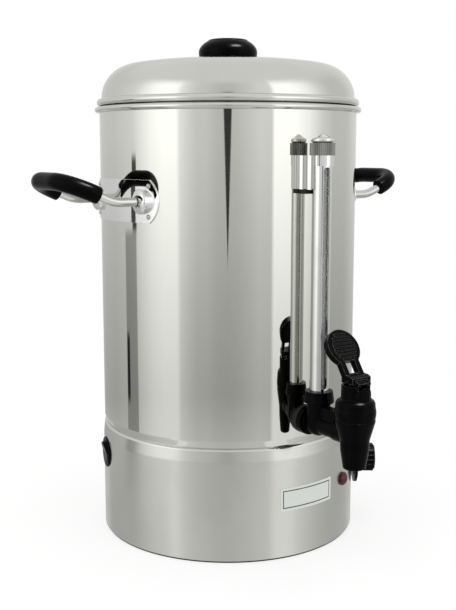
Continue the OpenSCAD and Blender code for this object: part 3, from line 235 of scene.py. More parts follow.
class NodeTree:
    """Short-hand for adding nodes to a tree and joining them."""

    def __init__(self, tree: bpy.types.NodeTree) -> None:
        """Keeps the tree that nodes are added to."""
        self.tree = tree

    def add(self, kind: str, **values: object) -> bpy.types.Node:
        """Adds a node.

        Args:
            kind: Node type name.
            **values: Node attributes to set.

        Returns:
            The new node.
        """
        node = self.tree.nodes.new(kind)
        for key, value in values.items():
            setattr(node, key, value)
        return node

    def link(self, out: Socket, into: Socket) -> None:
        """Joins two sockets."""
        self.tree.links.new(out, into)

    def feed(self, node: bpy.types.Node, key: str | int, value: object) -> None:
        """Gives an input a socket or a plain value.

        Args:
            node: The node.
            key: Name or index of its input.
            value: Socket to join, or value to set.
        """
        if isinstance(value, bpy.types.NodeSocket):
            self.link(value, node.inputs[key])
        else:
            node.inputs[key].default_value = value

    def math(self, operation: str, first: object, second: object = None) -> Socket:
        """Adds a math node.

        Args:
            operation: Math operation name.
            first: First socket or number.
            second: Second socket or number, if the operation has one.

        Returns:
            The result socket.
        """
        node = self.add("ShaderNodeMath", operation=operation)
        self.feed(node, 0, first)
        if second is not None:
            self.feed(node, 1, second)
        return node.outputs[0]

    def ramp(self, value: Socket, source: Pair, target: Pair = (0.0, 1.0)) -> Socket:
        """Maps a value smoothly from one range to another.

        Args:
            value: Source socket.
            source: Start and end of the source range.
            target: Results at that start and end.

        Returns:
            The result socket.
        """
        node = self.add("ShaderNodeMapRange", interpolation_type="SMOOTHSTEP")
        self.link(value, node.inputs["Value"])
        for key, number in zip(("From Min", "From Max", "To Min", "To Max"), (*source, *target)):
            node.inputs[key].default_value = number
        return node.outputs["Result"]

    def mix(self, share: object, first: object, second: object, blend: str = "MIX") -> Socket:
        """Mixes two colours.

        Args:
            share: Socket or number, the share of the second colour.
            first: First socket or colour.
            second: Second socket or colour.
            blend: Blend type.

        Returns:
            The result socket.
        """
        node = self.add("ShaderNodeMix", data_type="RGBA", blend_type=blend)
        self.feed(node, 0, share)
        self.feed(node, MIX_FIRST, first)
        self.feed(node, MIX_SECOND, second)
        return node.outputs[MIX_OUT]

    def stops(self, value: Socket, marks: list[Pair], tint: Colour) -> Socket:
        """Looks a value up along a row of grey stops.

        Args:
            value: Source socket, 0 to 1.
            marks: Position and level of each stop.
            tint: Colour of a level of 1.

        Returns:
            The colour socket.
        """
        node = self.add("ShaderNodeValToRGB")
        elements = node.color_ramp.elements
        while len(elements) < len(marks):
            elements.new(0.5)
        for element, (place, level) in zip(elements, marks):
            element.position = place
            element.color = (*(level * part for part in tint), 1.0)
        self.link(value, node.inputs["Fac"])
        return node.outputs["Color"]


def empty_group(name: str, inputs: dict[str, str], outputs: dict[str, str]) -> bpy.types.NodeTree:
    """Makes a node group that has its sockets and nothing else.

    Args:
        name: Its name.
        inputs: Name and kind of each input.
        outputs: Name and kind of each output.

    Returns:
        The group.
    """
    group = bpy.data.node_groups.new(name, "ShaderNodeTree")
    for side, sockets in (("INPUT", inputs), ("OUTPUT", outputs)):
        for key, kind in sockets.items():
            group.interface.new_socket(name=key, in_out=side, socket_type=f"NodeSocket{kind}")
    return group


@dataclass(frozen=True)
class Noise:
    """Noise that is fixed to the object.

    Attributes:
        scale: Scale of the noise.
        detail: Octaves.
        stretch: Scale along each axis.
    """

    scale: float
    detail: float
    stretch: Point = (1.0, 1.0, 1.0)


@dataclass(frozen=True)
class Grain:
    """Recipe of a pattern that is made of noise.

    Attributes:
        fine: Noise of the relief.
        height: Height of the relief, in metres.
        patch: Noise of the patches.
        rough: Range of that noise over which the surface gets rougher.
        tinted: Range of that noise over which the second colour comes in.
    """

    fine: Noise
    height: float
    patch: Noise
    rough: Pair
    tinted: Pair


# Slow dents and faint wipe marks of polished sheet.
SHEET_GRAIN = Grain(
    Noise(9.0, 1.0, (1.0, 1.0, 0.16)), 0.006, Noise(26.0, 5.0, (1.0, 1.0, 0.35)), (0.42, 0.78), (0.35, 0.8)
)
# Fine lines round the urn, with worn patches.
SATIN_GRAIN = Grain(
    Noise(1.0, 2.0, (5.0, 5.0, 3200.0)), 0.00006, Noise(20.0, 4.0, (1.0, 1.0, 0.8)), (0.3, 0.8), (0.35, 0.8)
)
# Small pits and dull spots of thin plating.
PLATED_GRAIN = Grain(Noise(500.0, 2.0), 0.00004, Noise(90.0, 4.0), (0.5, 0.8), (0.5, 0.85))
# Fine grain of rolled or turned metal, with dull patches.
ROLLED_GRAIN = Grain(
    Noise(1.0, 3.0, (60.0, 60.0, 1600.0)), 0.0002, Noise(120.0, 4.0), (0.3, 0.8), (0.35, 0.8)
)
# Fine spark grain of a mould, with handled patches.
MOULDED_GRAIN = Grain(Noise(1800.0, 2.0), 0.0002, Noise(60.0, 3.0), (0.3, 0.8), (0.4, 0.8))
# Faint draw lines of glass and clear plastic.
DRAWN_GRAIN = Grain(Noise(1.0, 2.0, (420.0, 420.0, 6.0)), 0.0001, Noise(150.0, 3.0), (0.4, 0.8), (0.4, 0.8))

PATTERN_GRAIN: dict[Pattern, Grain] = {
    Pattern.SHEET: SHEET_GRAIN,
    Pattern.SATIN: SATIN_GRAIN,
    Pattern.PLATED: PLATED_GRAIN,
    Pattern.BOWED: PLATED_GRAIN,
    Pattern.GRAIN: ROLLED_GRAIN,
    Pattern.MOULDED: MOULDED_GRAIN,
    Pattern.DRAWN: DRAWN_GRAIN,
}


@dataclass(frozen=True)
class Relief:
    """What a pattern gives to its group.

    Attributes:
        height: Height of the surface, 0 to 1.
        scale: What a height of 1 measures, in metres.
        patches: Where the surface is rougher, 0 to 1.
        mask: Where the second colour comes in, 0 to 1.
    """

    height: Socket
    scale: float
    patches: Socket
    mask: Socket


class PatternGroups:
    """The node groups that finishes share.

    Attributes:
        edge_samples: Rays that find the soft normal of an edge.
        edge_bend: Cosine of the normal's bend where the painted edge highlight starts, and where it is full.
        bow_at: Distance in front of the urn's axis at which bowed sheet stands straight, in metres.
        bow_pace: Turn of the bow along a metre, in radians.
        border: Axis, inset and line width of the label's frame, as shares of the label.
        fibre: Noise of the label's paper.
        fibre_height: Height of that noise, in metres.
    """

    edge_samples: ClassVar[int] = 4
    edge_bend: ClassVar[Pair] = (0.99, 0.86)
    bow_at: ClassVar[float] = 0.1195
    bow_pace: ClassVar[float] = 620.0
    border: ClassVar[tuple[tuple[str, float, float], ...]] = (("X", 0.043, 0.014), ("Y", 0.115, 0.042))
    fibre: ClassVar[Noise] = Noise(900.0, 2.0)
    fibre_height: ClassVar[float] = 0.00002

    def __init__(self) -> None:
        """Makes an empty store."""
        self._made: dict[str, bpy.types.NodeTree] = {}

    def get(self, pattern: Pattern) -> bpy.types.NodeTree:
        """Finds or builds a pattern's group.

        Args:
            pattern: The pattern.

        Returns:
            Its node group, which gives a normal, a change of roughness and a colour mask.
        """
        if pattern.value not in self._made:
            self._made[pattern.value] = self._build(pattern)
        return self._made[pattern.value]

    def edges(self) -> bpy.types.NodeTree:
        """Finds or builds the group that softens edges and marks them.

        Returns:
            The node group.
        """
        name = "soft edges"
        if name not in self._made:
            group = empty_group(name, {"Radius": "Float"}, {"Normal": "Vector", "Edge": "Float"})
            nodes = NodeTree(group)
            start, end = nodes.add("NodeGroupInput"), nodes.add("NodeGroupOutput")
            bevel = nodes.add("ShaderNodeBevel", samples=self.edge_samples)
            nodes.link(start.outputs["Radius"], bevel.inputs["Radius"])
            flat = nodes.add("ShaderNodeNewGeometry")
            dot = nodes.add("ShaderNodeVectorMath", operation="DOT_PRODUCT")
            nodes.link(bevel.outputs["Normal"], dot.inputs[0])
            nodes.link(flat.outputs["Normal"], dot.inputs[1])
            nodes.link(bevel.outputs["Normal"], end.inputs["Normal"])
            nodes.link(nodes.ramp(dot.outputs["Value"], self.edge_bend), end.inputs["Edge"])
            self._made[name] = group
        return self._made[name]

    def _build(self, pattern: Pattern) -> bpy.types.NodeTree:
        """Builds a pattern's group.

        Args:
            pattern: The pattern.

        Returns:
            Its node group.
        """
        group = empty_group(
            pattern.value,
            {"Normal": "Vector", "Depth": "Float", "Smear": "Float"},
            {"Normal": "Vector", "Roughness": "Float", "Mask": "Float"},
        )
        nodes = NodeTree(group)
        start, end = nodes.add("NodeGroupInput"), nodes.add("NodeGroupOutput")
        if pattern is Pattern.BORDER:
            relief = self._framed(nodes)
        else:
            relief = self._grained(nodes, PATTERN_GRAIN[pattern])
        normal = start.outputs["Normal"]
        if pattern is Pattern.BOWED:
            normal = self._bowed(nodes, normal, start.outputs["Depth"])
        bump = nodes.add("ShaderNodeBump")
        bump.inputs["Distance"].default_value = relief.scale
        nodes.link(start.outputs["Depth"], bump.inputs["Strength"])
        nodes.link(relief.height, bump.inputs["Height"])
        nodes.link(normal, bump.inputs["Normal"])
        nodes.link(bump.outputs["Normal"], end.inputs["Normal"])
        rough = nodes.math("MULTIPLY", relief.patches, start.outputs["Smear"])
        nodes.link(rough, end.inputs["Roughness"])
        nodes.link(relief.mask, end.inputs["Mask"])
        return group

    def _bowed(self, nodes: NodeTree, normal: Socket, depth: Socket) -> Socket:
        """Leans a normal to and from the urn's back, as sheet that bows between its bends.

        Args:
            nodes: The group's nodes.
            normal: Normal to lean.
            depth: Strength.

        Returns:
            The leaning normal.
        """
        place = nodes.add("ShaderNodeTexCoord")
        split = nodes.add("ShaderNodeSeparateXYZ")
        nodes.link(place.outputs["Object"], split.inputs[0])
        along = nodes.math("MULTIPLY", nodes.math("ADD", split.outputs["Y"], self.bow_at), self.bow_pace)
        push = nodes.add("ShaderNodeCombineXYZ")
        nodes.link(nodes.math("MULTIPLY", nodes.math("SINE", along), depth), push.inputs["Y"])
        total = nodes.add("ShaderNodeVectorMath", operation="ADD")
        nodes.link(normal, total.inputs[0])
        nodes.link(push.outputs[0], total.inputs[1])
        unit = nodes.add("ShaderNodeVectorMath", operation="NORMALIZE")
        nodes.link(total.outputs[0], unit.inputs[0])
        return unit.outputs[0]

    @staticmethod
    def _noise(nodes: NodeTree, recipe: Noise) -> Socket:
        """Adds noise that is fixed to the object.

        Args:
            nodes: The group's nodes.
            recipe: The noise.

        Returns:
            The noise, 0 to 1.
        """
        place = nodes.add("ShaderNodeTexCoord")
        mapping = nodes.add("ShaderNodeMapping")
        mapping.inputs["Scale"].default_value = recipe.stretch
        noise = nodes.add("ShaderNodeTexNoise")
        noise.inputs["Scale"].default_value = recipe.scale
        noise.inputs["Detail"].default_value = recipe.detail
        nodes.link(place.outputs["Object"], mapping.inputs["Vector"])
        nodes.link(mapping.outputs["Vector"], noise.inputs["Vector"])
        return noise.outputs["Fac"]

    def _grained(self, nodes: NodeTree, grain: Grain) -> Relief:
        """Relief of a pattern that is made of noise.

        Args:
            nodes: The group's nodes.
            grain: Its recipe.

        Returns:
            The relief.
        """
        fine, patch = self._noise(nodes, grain.fine), self._noise(nodes, grain.patch)
        return Relief(fine, grain.height, nodes.ramp(patch, grain.rough), nodes.ramp(patch, grain.tinted))

    def _framed(self, nodes: NodeTree) -> Relief:
        """Thin printed frame inside the label's edge.

        Args:
            nodes: The group's nodes.

        Returns:
            The relief.
        """
        place = nodes.add("ShaderNodeTexCoord")
        split = nodes.add("ShaderNodeSeparateXYZ")
        nodes.link(place.outputs["UV"], split.inputs[0])
        inside, line = [], []
        for axis, inset, width in self.border:
            away = nodes.math("ABSOLUTE", nodes.math("SUBTRACT", split.outputs[axis], 0.5))
            edge = nodes.math("SUBTRACT", 0.5 - inset, away)
            inside.append(nodes.math("GREATER_THAN", edge, 0.0))
            line.append(nodes.math("LESS_THAN", edge, width))
        mask = nodes.math("MULTIPLY", nodes.math("MINIMUM", *inside), nodes.math("MAXIMUM", *line))
        fibre = self._noise(nodes, self.fibre)
        return Relief(fibre, self.fibre_height, fibre, mask)


class Finisher:
    """Builds and hands out the materials."""

    def __init__(self) -> None:
        """Makes an empty store."""
        self._groups = PatternGroups()
        self._made: dict[str, bpy.types.Material] = {}

    def paint(self, obj: bpy.types.Object, finish: Finish) -> None:
        """Gives an object one finish.

        Args:
            obj: The object.
            finish: Its finish.
        """
        if finish.name not in self._made:
            self._made[finish.name] = self._build(finish)
        obj.data.materials.clear()
        obj.data.materials.append(self._made[finish.name])

    def _build(self, finish: Finish) -> bpy.types.Material:
        """Builds a finish's material.

        Args:
            finish: The finish.

        Returns:
            The material.
        """
        material = bpy.data.materials.new(finish.name)
        material.use_nodes = True
        material.node_tree.nodes.clear()
        nodes = NodeTree(material.node_tree)
        out = nodes.add("ShaderNodeOutputMaterial")
        shader = nodes.add("ShaderNodeBsdfPrincipled")
        nodes.link(shader.outputs[0], out.inputs["Surface"])
        shader.inputs["Metallic"].default_value = finish.metallic
        shader.inputs["Specular IOR Level"].default_value = finish.specular
        shader.inputs["Transmission Weight"].default_value = finish.transmission
        shader.inputs["Alpha"].default_value = finish.alpha
        group = nodes.add("ShaderNodeGroup", node_tree=self._groups.get(finish.pattern))
        group.inputs["Depth"].default_value = finish.depth
        group.inputs["Smear"].default_value = finish.smear
        first, second = (*finish.colour, 1.0), (*finish.second, 1.0)
        colour = nodes.mix(nodes.math("MULTIPLY", group.outputs["Mask"], finish.share), first, second)
        if finish.bevel:
            edges = nodes.add("ShaderNodeGroup", node_tree=self._groups.edges())
            edges.inputs["Radius"].default_value = finish.bevel
            nodes.link(edges.outputs["Normal"], group.inputs["Normal"])
            # Painted highlight: the second colour along the edges stands in for light that the edges catch.
            if finish.edge_highlight:
                colour = nodes.mix(nodes.math("MULTIPLY", edges.outputs["Edge"], finish.edge_highlight), colour, second)
        else:
            nodes.link(nodes.add("ShaderNodeNewGeometry").outputs["Normal"], group.inputs["Normal"])
        nodes.link(colour, shader.inputs["Base Color"])
        rough = nodes.math("ADD", group.outputs["Roughness"], finish.roughness)
        nodes.link(rough, shader.inputs["Roughness"])
        nodes.link(group.outputs["Normal"], shader.inputs["Normal"])
        return material


def arc(centre: Pair, radius: float, start: float, end: float, steps: int) -> list[Pair]:
    """Points along an arc.

    Args:
        centre: Centre of the arc.
        radius: Its radius.
        start: First angle in degrees.
        end: Last angle in degrees.
        steps: Number of chords.

    Returns:
        The points.
    """
    turns = (math.radians(start + (end - start) * i / steps) for i in range(steps + 1))
    return [(centre[0] + radius * math.cos(t), centre[1] + radius * math.sin(t)) for t in turns]


@dataclass
class Workshop:
    """The CAD frame and the tools that every sub-assembly uses.

    Attributes:
        frame: What the frame loader returned.
        finisher: Source of the materials.
        slots: Material slot of each CAD node.
        node_crease: Bend above which an edge of a CAD node stays sharp, in degrees.
        piece_crease: The same for a piece made here.
    """

    frame: dict
    finisher: Finisher = field(default_factory=Finisher)
    slots: dict[str, str] = field(init=False)
    node_crease: ClassVar[float] = 32.0
    piece_crease: ClassVar[float] = 35.0

    def __post_init__(self) -> None:
        """Reads each node's material slot from the record."""
        self.slots = {part["node"]: part["material_slot"] for part in self.frame["record"]["subparts"]}

    def dress(self, node: str, finish: Finish | None = None) -> None:
        """Gives a CAD node its finish and smooth shading.

        Args:
            node: Node name.
            finish: Finish other than its slot's.
        """
        obj = self.frame["nodes"][node]
        self.finisher.paint(obj, finish or SLOT_FINISH[self.slots[node]])
        self.smooth(obj.data, self.node_crease)
        LOG.info("dressed %s", node)

    @staticmethod
    def smooth(mesh: bpy.types.Mesh, angle: float) -> None:
        """Shades a mesh smooth, with sharp edges where it bends more than an angle."""
        mesh.polygons.foreach_set("use_smooth", [True] * len(mesh.polygons))
        mesh.set_sharp_from_angle(angle=math.radians(angle))

    def piece(
        self, name: str, points: list[Point], faces: list[tuple[int, ...]], finish: Finish, body: Body
    ) -> bpy.types.Object:
        """Makes a new piece that rides on a body.

        Args:
            name: Object name.
            points: Corners, in metres.
            faces: Corner numbers of each face.
            finish: Its finish.
            body: CAD body it rides on.

        Returns:
            The object.
        """
        mesh = bpy.data.meshes.new(name)
        mesh.from_pydata(points, [], faces)
        mesh.validate()
        self.smooth(mesh, self.piece_crease)
        obj = bpy.data.objects.new(name, mesh)
        bpy.context.scene.collection.objects.link(obj)
        self.finisher.paint(obj, finish)
        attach(obj, body.value)
        LOG.info("made %s", name)
        return obj

    def turned(
        self,
        node: str,
        section: list[Pair],
        body: Body,
        closed: bool = True,
        steps: int = 288,
        finish: Finish | None = None,
    ) -> bpy.types.Object:
        """Turns a smooth skin in place of a CAD node.

        Args:
            node: Node that it stands for.
            section: Half section as radius and height, in millimetres.
            body: CAD body it rides on.
            closed: Whether the section closes on itself.
            steps: Number of segments round the axis.
            finish: Finish other than its slot's.

        Returns:
            The object.
        """
        count = len(section)
        points: list[Point] = []
        for step in range(steps):
            turn = 2 * math.pi * step / steps
            points += [(r * MM * math.sin(turn), -r * MM * math.cos(turn), z * MM) for r, z in section]
        faces: list[tuple[int, ...]] = []
        for step in range(steps):
            here, there = step * count, (step + 1) % steps * count
            for i in range(count if closed else count - 1):
                j = (i + 1) % count
                faces.append((here + i, there + i, there + j, here + j))
        slot = self.slots[node]
        obj = self.piece(f"{node}_skin", points, faces, finish or SLOT_FINISH[slot], body)
        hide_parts(node)
        return obj


@dataclass
class SubAssembly:
    """Pieces that belong together.

    Attributes:
        shop: The CAD frame and tools.
        nodes: CAD nodes to dress.
        special: Finish of each node that differs from its slot's.
    """

    shop: Workshop
    nodes: ClassVar[tuple[str, ...]] = ()
    special: ClassVar[dict[str, Finish]] = {}

    def build(self) -> None:
        """Dresses the CAD nodes and adds the pieces made here."""
        for node in self.nodes:
            self.shop.dress(node, self.special.get(node))
        self.add()

    def add(self) -> None:
        """Adds the pieces made here."""


@dataclass
class Tank(SubAssembly):
    """Polished tank with its rolled rim, floor and heating element; sizes in millimetres.

    Attributes:
        radius: Outside radius.
        wall: Sheet thickness.
        bead: Radius of the rolled rim.
        rim: Height of the rim's middle.
        rim_steps: Chords of the rim's section.
        side_foot: Height where the straight side starts.
        bend: Soft bend under the side, as distances out from the side and up from its foot.
        inner_bend: The same bend inside, from the top down.
        neck: Outside radius of the necked-in foot.
        neck_top: Height of the neck's top.
        neck_lift: How much higher that is inside.
        edge: Height of the lower edge.
    """

    radius: float = 110.0
    wall: float = 0.8
    bead: float = 2.4
    rim: float = 363.4
    rim_steps: int = 36
    side_foot: float = 100.0
    bend: tuple[Pair, ...] = ((-0.1, -0.25), (0.0, 0.4), (0.0, 1.2))
    inner_bend: tuple[Pair, ...] = ((0.0, 1.4), (0.0, 0.2))
    neck: float = 107.8
    neck_top: float = 94.5
    neck_lift: float = 0.2
    edge: float = 89.2
    nodes: ClassVar[tuple[str, ...]] = (
        "tank",
        "tank_floor",
        "heating_element",
        "element_seals",
        "element_nuts",
    )

    def add(self) -> None:
        """Turns the tank's skin."""
        meet = math.degrees(math.acos((self.wall - self.bead) / self.bead))
        inner = self.radius - self.wall
        section = [
            (self.neck, self.edge),
            (self.neck, self.neck_top),
            *((self.radius + out, self.side_foot + up) for out, up in self.bend),
            *arc((inner + self.bead, self.rim), self.bead, -meet, 180, self.rim_steps),
            *((inner + out, self.side_foot + up) for out, up in self.inner_bend),
            (self.neck - self.wall, self.neck_top + self.neck_lift),
            (self.neck - self.wall, self.edge),
        ]
        self.shop.turned("tank", section, Body.URN)


@dataclass
class Base(SubAssembly):
    """Satin skirt under the tank with its plate, foot and blank label; sizes in millimetres.

    Attributes:
        outer: Outside radius of the skirt.
        wall: Sheet thickness.
        foot: Height of the skirt's lower edge.
        foot_bevel: Bevel of that edge.
        hold: Distance from the side's ends to the rings that keep its shading straight.
        slope: Height where the slope to the top starts.
        soft: How far in and along the slope's soft ends reach.
        edge: Radius and height of the middle of the round top edge.
        edge_r: Radius of that edge.
        edge_steps: Chords of that edge's section.
        fit: How far the inside of the top edge lies inside its middle.
        ledge: Inner radius and heights of the ledge that carries the tank.
        label_w: Length of the label round the skirt.
        label_h: Height of the label.
        label_z: Height of the label's middle.
        label_turn: Direction of the label's middle from the tap, in degrees.
        label_lift: How far the label stands off the skirt.
        label_cells: Faces along the label and up it.
    """

    outer: float = 111.1
    wall: float = 0.8
    foot: float = 1.5
    foot_bevel: float = 0.3
    hold: float = 1.0
    slope: float = 83.5
    soft: Pair = (0.08, 0.8)
    edge: Pair = (108.0, 92.3)
    edge_r: float = 2.2
    edge_steps: int = 16
    fit: float = 0.15
    ledge: tuple[float, float, float] = (106.0, 89.2, 88.0)
    label_w: float = 55.0
    label_h: float = 19.5
    label_z: float = 50.0
    label_turn: float = 2.0
    label_lift: float = 0.12
    label_cells: tuple[int, int] = (28, 2)
    nodes: ClassVar[tuple[str, ...]] = (
        "base_skirt",
        "base_plate",
        "base_brackets",
        "base_screws",
        "foot_ring",
    )

    def add(self) -> None:
        """Turns the skirt's skin and lays the label on it."""
        inner = self.outer - self.wall
        reach, top, under = self.ledge
        edge_at, edge_z = self.edge
        soft_in, soft_up = self.soft
        throat = edge_at - self.fit
        section = [
            (inner, self.foot),
            (self.outer - self.foot_bevel, self.foot),
            (self.outer, self.foot + self.foot_bevel),
            (self.outer, self.foot + self.hold),
            (self.outer, self.slope - self.hold),
            (self.outer, self.slope),
            (self.outer - soft_in, self.slope + soft_up),
            (edge_at + self.edge_r + soft_in, edge_z - soft_up),
            *arc(self.edge, self.edge_r, 0, 90, self.edge_steps),
            (throat, edge_z + self.edge_r),
            (throat, top),
            (reach, top),
            (reach, under),
            (inner, under - inner + reach),
        ]
        self.shop.turned("base_skirt", section, Body.URN)
        self._label()

    def _label(self) -> None:
        """Lays the blank label on the skirt."""
        across, up = self.label_cells
        r = (self.outer + self.label_lift) * MM
        points: list[Point] = []
        places: list[Pair] = []
        for row in range(up + 1):
            for column in range(across + 1):
                u, v = column / across, row / up
                turn = math.radians(self.label_turn) + (u - 0.5) * self.label_w / self.outer
                height = (self.label_z + (v - 0.5) * self.label_h) * MM
                points.append((r * math.sin(turn), -r * math.cos(turn), height))
                places.append((u, v))
        wide = across + 1
        faces: list[tuple[int, ...]] = [
            (row * wide + c, row * wide + c + 1, (row + 1) * wide + c + 1, (row + 1) * wide + c)
            for row in range(up)
            for c in range(across)
        ]
        label = self.shop.piece("blank_label", points, faces, PAPER, Body.URN)
        layer = label.data.uv_layers.new(name="UVMap")
        for loop in label.data.loops:
            layer.data[loop.index].uv = places[loop.vertex_index]


@dataclass
class Lid(SubAssembly):
    """Domed lid with its rolled edge and knob; sizes in millimetres.

    Attributes:
        side: Radius of the lid's side.
        seat: Height of the seat on the tank's rim.
        edge: Height of the rolled edge.
        edge_steps: Chords of that edge's section.
        out: How far that edge stands out.
        shoulder: Radius of the shoulder.
        shoulder_steps: Chords of the shoulder's section.
        apex: Height of the crown.
        crown_steps: Chords of the crown's section.
        wall: Sheet thickness.
        screw_r: Radius of the hole for the knob's screw.
        knob_foot: Height of the knob's foot.
        knob_h: Height of the knob.
        knob_low: Radius of the knob's foot.
        knob_mid: Largest radius of the knob.
        knob_swell: Height of that radius, as a share of the knob's height.
        knob_top: Radius of the raised disc on the knob.
        knob_disc: Height of the disc's foot, as a share of the knob's height.
        disc_side: Points of the disc's side, as distances in from its radius and up from its foot.
        disc_crown: Where the disc's domed top starts, in the same way.
        knob_steps: Chords of the knob's flank below and above its largest radius and of the domed top.
        knob_segments: Segments of the knob round its axis.
    """

    side: float = 108.1
    seat: float = 366.1
    edge: float = 6.6
    edge_steps: int = 28
    out: float = 4.0
    shoulder: float = 28.8
    shoulder_steps: int = 40
    apex: float = 407.0
    crown_steps: int = 24
    wall: float = 0.8
    screw_r: float = 2.6
    knob_foot: float = 407.1
    knob_h: float = 16.5
    knob_low: float = 23.5
    knob_mid: float = 25.0
    knob_swell: float = 0.29
    knob_top: float = 17.25
    knob_disc: float = 0.88
    disc_side: tuple[Pair, ...] = ((0.3, 0.1), (0.4, 0.5))
    disc_crown: Pair = (0.8, 0.7)
    knob_steps: tuple[int, int, int] = (16, 20, 18)
    knob_segments: int = 128
    nodes: ClassVar[tuple[str, ...]] = (
        "lid_shell",
        "lid_locating_ring",
        "lid_knob",
        "lid_knob_screw",
        "lid_knob_washer",
    )
    special: ClassVar[dict[str, Finish]] = {"lid_shell": LID_STEEL}

    def add(self) -> None:
        """Turns the skins of the lid and its knob."""
        centre = (self.side - self.shoulder, self.seat + self.edge)
        reach = self.apex - self.shoulder
        low = (reach**2 - centre[0] ** 2 - centre[1] ** 2) / (2 * (reach - centre[1]))
        crown = self.apex - low
        tilt = math.degrees(math.asin(centre[0] / (crown - self.shoulder)))
        top = 90 - math.degrees(math.asin(self.screw_r / crown))

        def skin(inset: float) -> list[Pair]:
            """Section of the skin, drawn in by a thickness."""
            bend = arc(centre, self.shoulder - inset, 0, 90 - tilt, self.shoulder_steps)
            return bend + arc((0, low), crown - inset, 90 - tilt, top, self.crown_steps)[1:]

        half = self.edge / 2
        bead = arc((self.side + self.out - half, self.seat + half), half, -90, 90, self.edge_steps)
        section = [(self.side - self.wall, self.seat), *bead, *skin(0), *reversed(skin(self.wall))]
        self.shop.turned("lid_shell", section, Body.LID, finish=LID_STEEL)
        self.shop.turned("lid_knob", self._knob(), Body.LID, closed=False, steps=self.knob_segments)

    def _knob(self) -> list[Pair]:
        """Section of the knob.

        Returns:
            The points.
        """
        top = self.knob_foot + self.knob_h
        middle = self.knob_foot + self.knob_h * self.knob_swell
        disc = self.knob_foot + self.knob_h * self.knob_disc
        below, above, over = self.knob_steps
        swell = math.acos(self.knob_top / self.knob_mid)
        rise = (disc - middle) / math.sin(swell)
        spread, drop = self.knob_mid - self.knob_low, middle - self.knob_foot
        quarter = [math.pi / 2 * i / below for i in range(below + 1)]
        lower = [(self.knob_low + spread * math.sin(a), middle - drop * math.cos(a)) for a in quarter]
        turns = [swell * i / above for i in range(1, above + 1)]
        upper = [(self.knob_mid * math.cos(a), middle + rise * math.sin(a)) for a in turns]
        side = [(self.knob_top - inset, disc + up) for inset, up in self.disc_side]
        inset, up = self.disc_crown
        bow = [math.pi / 2 * i / over for i in range(over)]
        crown = [
            ((self.knob_top - inset) * math.cos(a), disc + up + (top - disc - up) * math.sin(a)) for a in bow
        ]
        return [(self.screw_r, self.knob_foot), *lower, *upper, *side, *crown, (0.0, top)]


@dataclass
class Tap(SubAssembly):
    """Lever tap with its return spring; sizes in millimetres.

    Attributes:
        coil: Radius of the spring's coil.
        wire: Radius of its wire.
        turns: Number of turns.
        sides: Sides of the wire.
        per_turn: Rings of the wire in one turn.
        lift: How far the stem lifts; not used.
    """

    coil: float = 6.0
    wire: float = 0.6
    turns: int = 7
    sides: int = 10
    per_turn: int = 28
    lift: float = 5.03
    nodes: ClassVar[tuple[str, ...]] = (
        "tap_shank",
        "tap_outer_seal",
        "tap_inner_seal",
        "tap_back_nut",
        "tap_body",
        "tap_bonnet",
        "tap_stem",
        "tap_seat_cup",
        "tap_spring",
        "tap_lever",
        "lever_pin",
    )
    special: ClassVar[dict[str, Finish]] = {"tap_lever": BLACK_RIB_HIGHLIGHT}

    def add(self) -> None:
        """Winds the spring."""
        low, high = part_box("tap_spring")
        middle = (low + high) / 2
        foot, head = low.z + self.wire * MM, high.z - self.wire * MM
        steps = self.turns * self.per_turn
        points: list[Point] = []
        for step in range(steps + 1):
            turn = 2 * math.pi * step / self.per_turn
            height = foot + (head - foot) * step / steps
            for side in range(self.sides):
                lean = 2 * math.pi * side / self.sides
                r = (self.coil + self.wire * math.cos(lean)) * MM
                rise = self.wire * MM * math.sin(lean)
                points.append((middle.x + r * math.cos(turn), middle.y + r * math.sin(turn), height + rise))
        faces: list[tuple[int, ...]] = [tuple(reversed(range(self.sides)))]
        faces.append(tuple(steps * self.sides + k for k in range(self.sides)))
        for step in range(steps):
            for k in range(self.sides):
                a, b = step * self.sides + k, step * self.sides + (k + 1) % self.sides
                faces.append((a, b, b + self.sides, a + self.sides))
        spring = self.shop.piece("return_spring", points, faces, STEEL, Body.URN)
        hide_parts("tap_spring")
        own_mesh(spring)


@dataclass
class Gauge(SubAssembly):
    """Sight gauge: glass in its slotted guard, with strap, collar and dome; sizes in millimetres.

    Attributes:
        block_w: Width of the dark block under the strap, which gives the dark band there.
        block_h: Height of the block.
        block_gap: Gap between the block and the strap.
        block_back: Distance of the block's back from the urn's axis.
        block_front: Distance of the block's front from the urn's axis.
    """

    block_w: float = 19.0
    block_h: float = 3.3
    block_gap: float = 0.05
    block_back: float = 110.1
    block_front: float = 119.4
    nodes: ClassVar[tuple[str, ...]] = (
        "gauge_guard",
        "gauge_glass",
        "gauge_seals",
        "gauge_strap",
        "strap_rivets",
        "gauge_gland",
        "gauge_collar",
        "gauge_dome",
    )
    special: ClassVar[dict[str, Finish]] = {"gauge_strap": STRAP, "strap_rivets": BRIGHT}

    def add(self) -> None:
        """Sets a dark block between tank and guard, under the strap, which gives the dark band there."""
        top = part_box("gauge_strap")[0].z - self.block_gap * MM
        half, back, front = self.block_w / 2 * MM, -self.block_back * MM, -self.block_front * MM
        plan = ((-half, back), (-half, front), (half, front), (half, back))
        points: list[Point] = [(x, y, z) for z in (top - self.block_h * MM, top) for x, y in plan]
        faces: list[tuple[int, ...]] = [(3, 2, 1, 0), (4, 5, 6, 7)]
        faces += [(i, (i + 1) % 4, 4 + (i + 1) % 4, 4 + i) for i in range(4)]
        # A dark block that gives the dark band under the strap.
        dark_block = self.shop.piece("strap_dark_block", points, faces, RUBBER, Body.URN)


@dataclass
class Handles(SubAssembly):
    """Both side handles: plates, rods, grips and rivets."""

    nodes: ClassVar[tuple[str, ...]] = (
        "handle_plate_left",
        "handle_plate_right",
        "handle_rod_left",
        "handle_rod_right",
        "handle_grip_left",
        "handle_grip_right",
        "handle_rivets",
    )
    special: ClassVar[dict[str, Finish]] = {"handle_rod_left": ROD, "handle_rod_right": ROD}


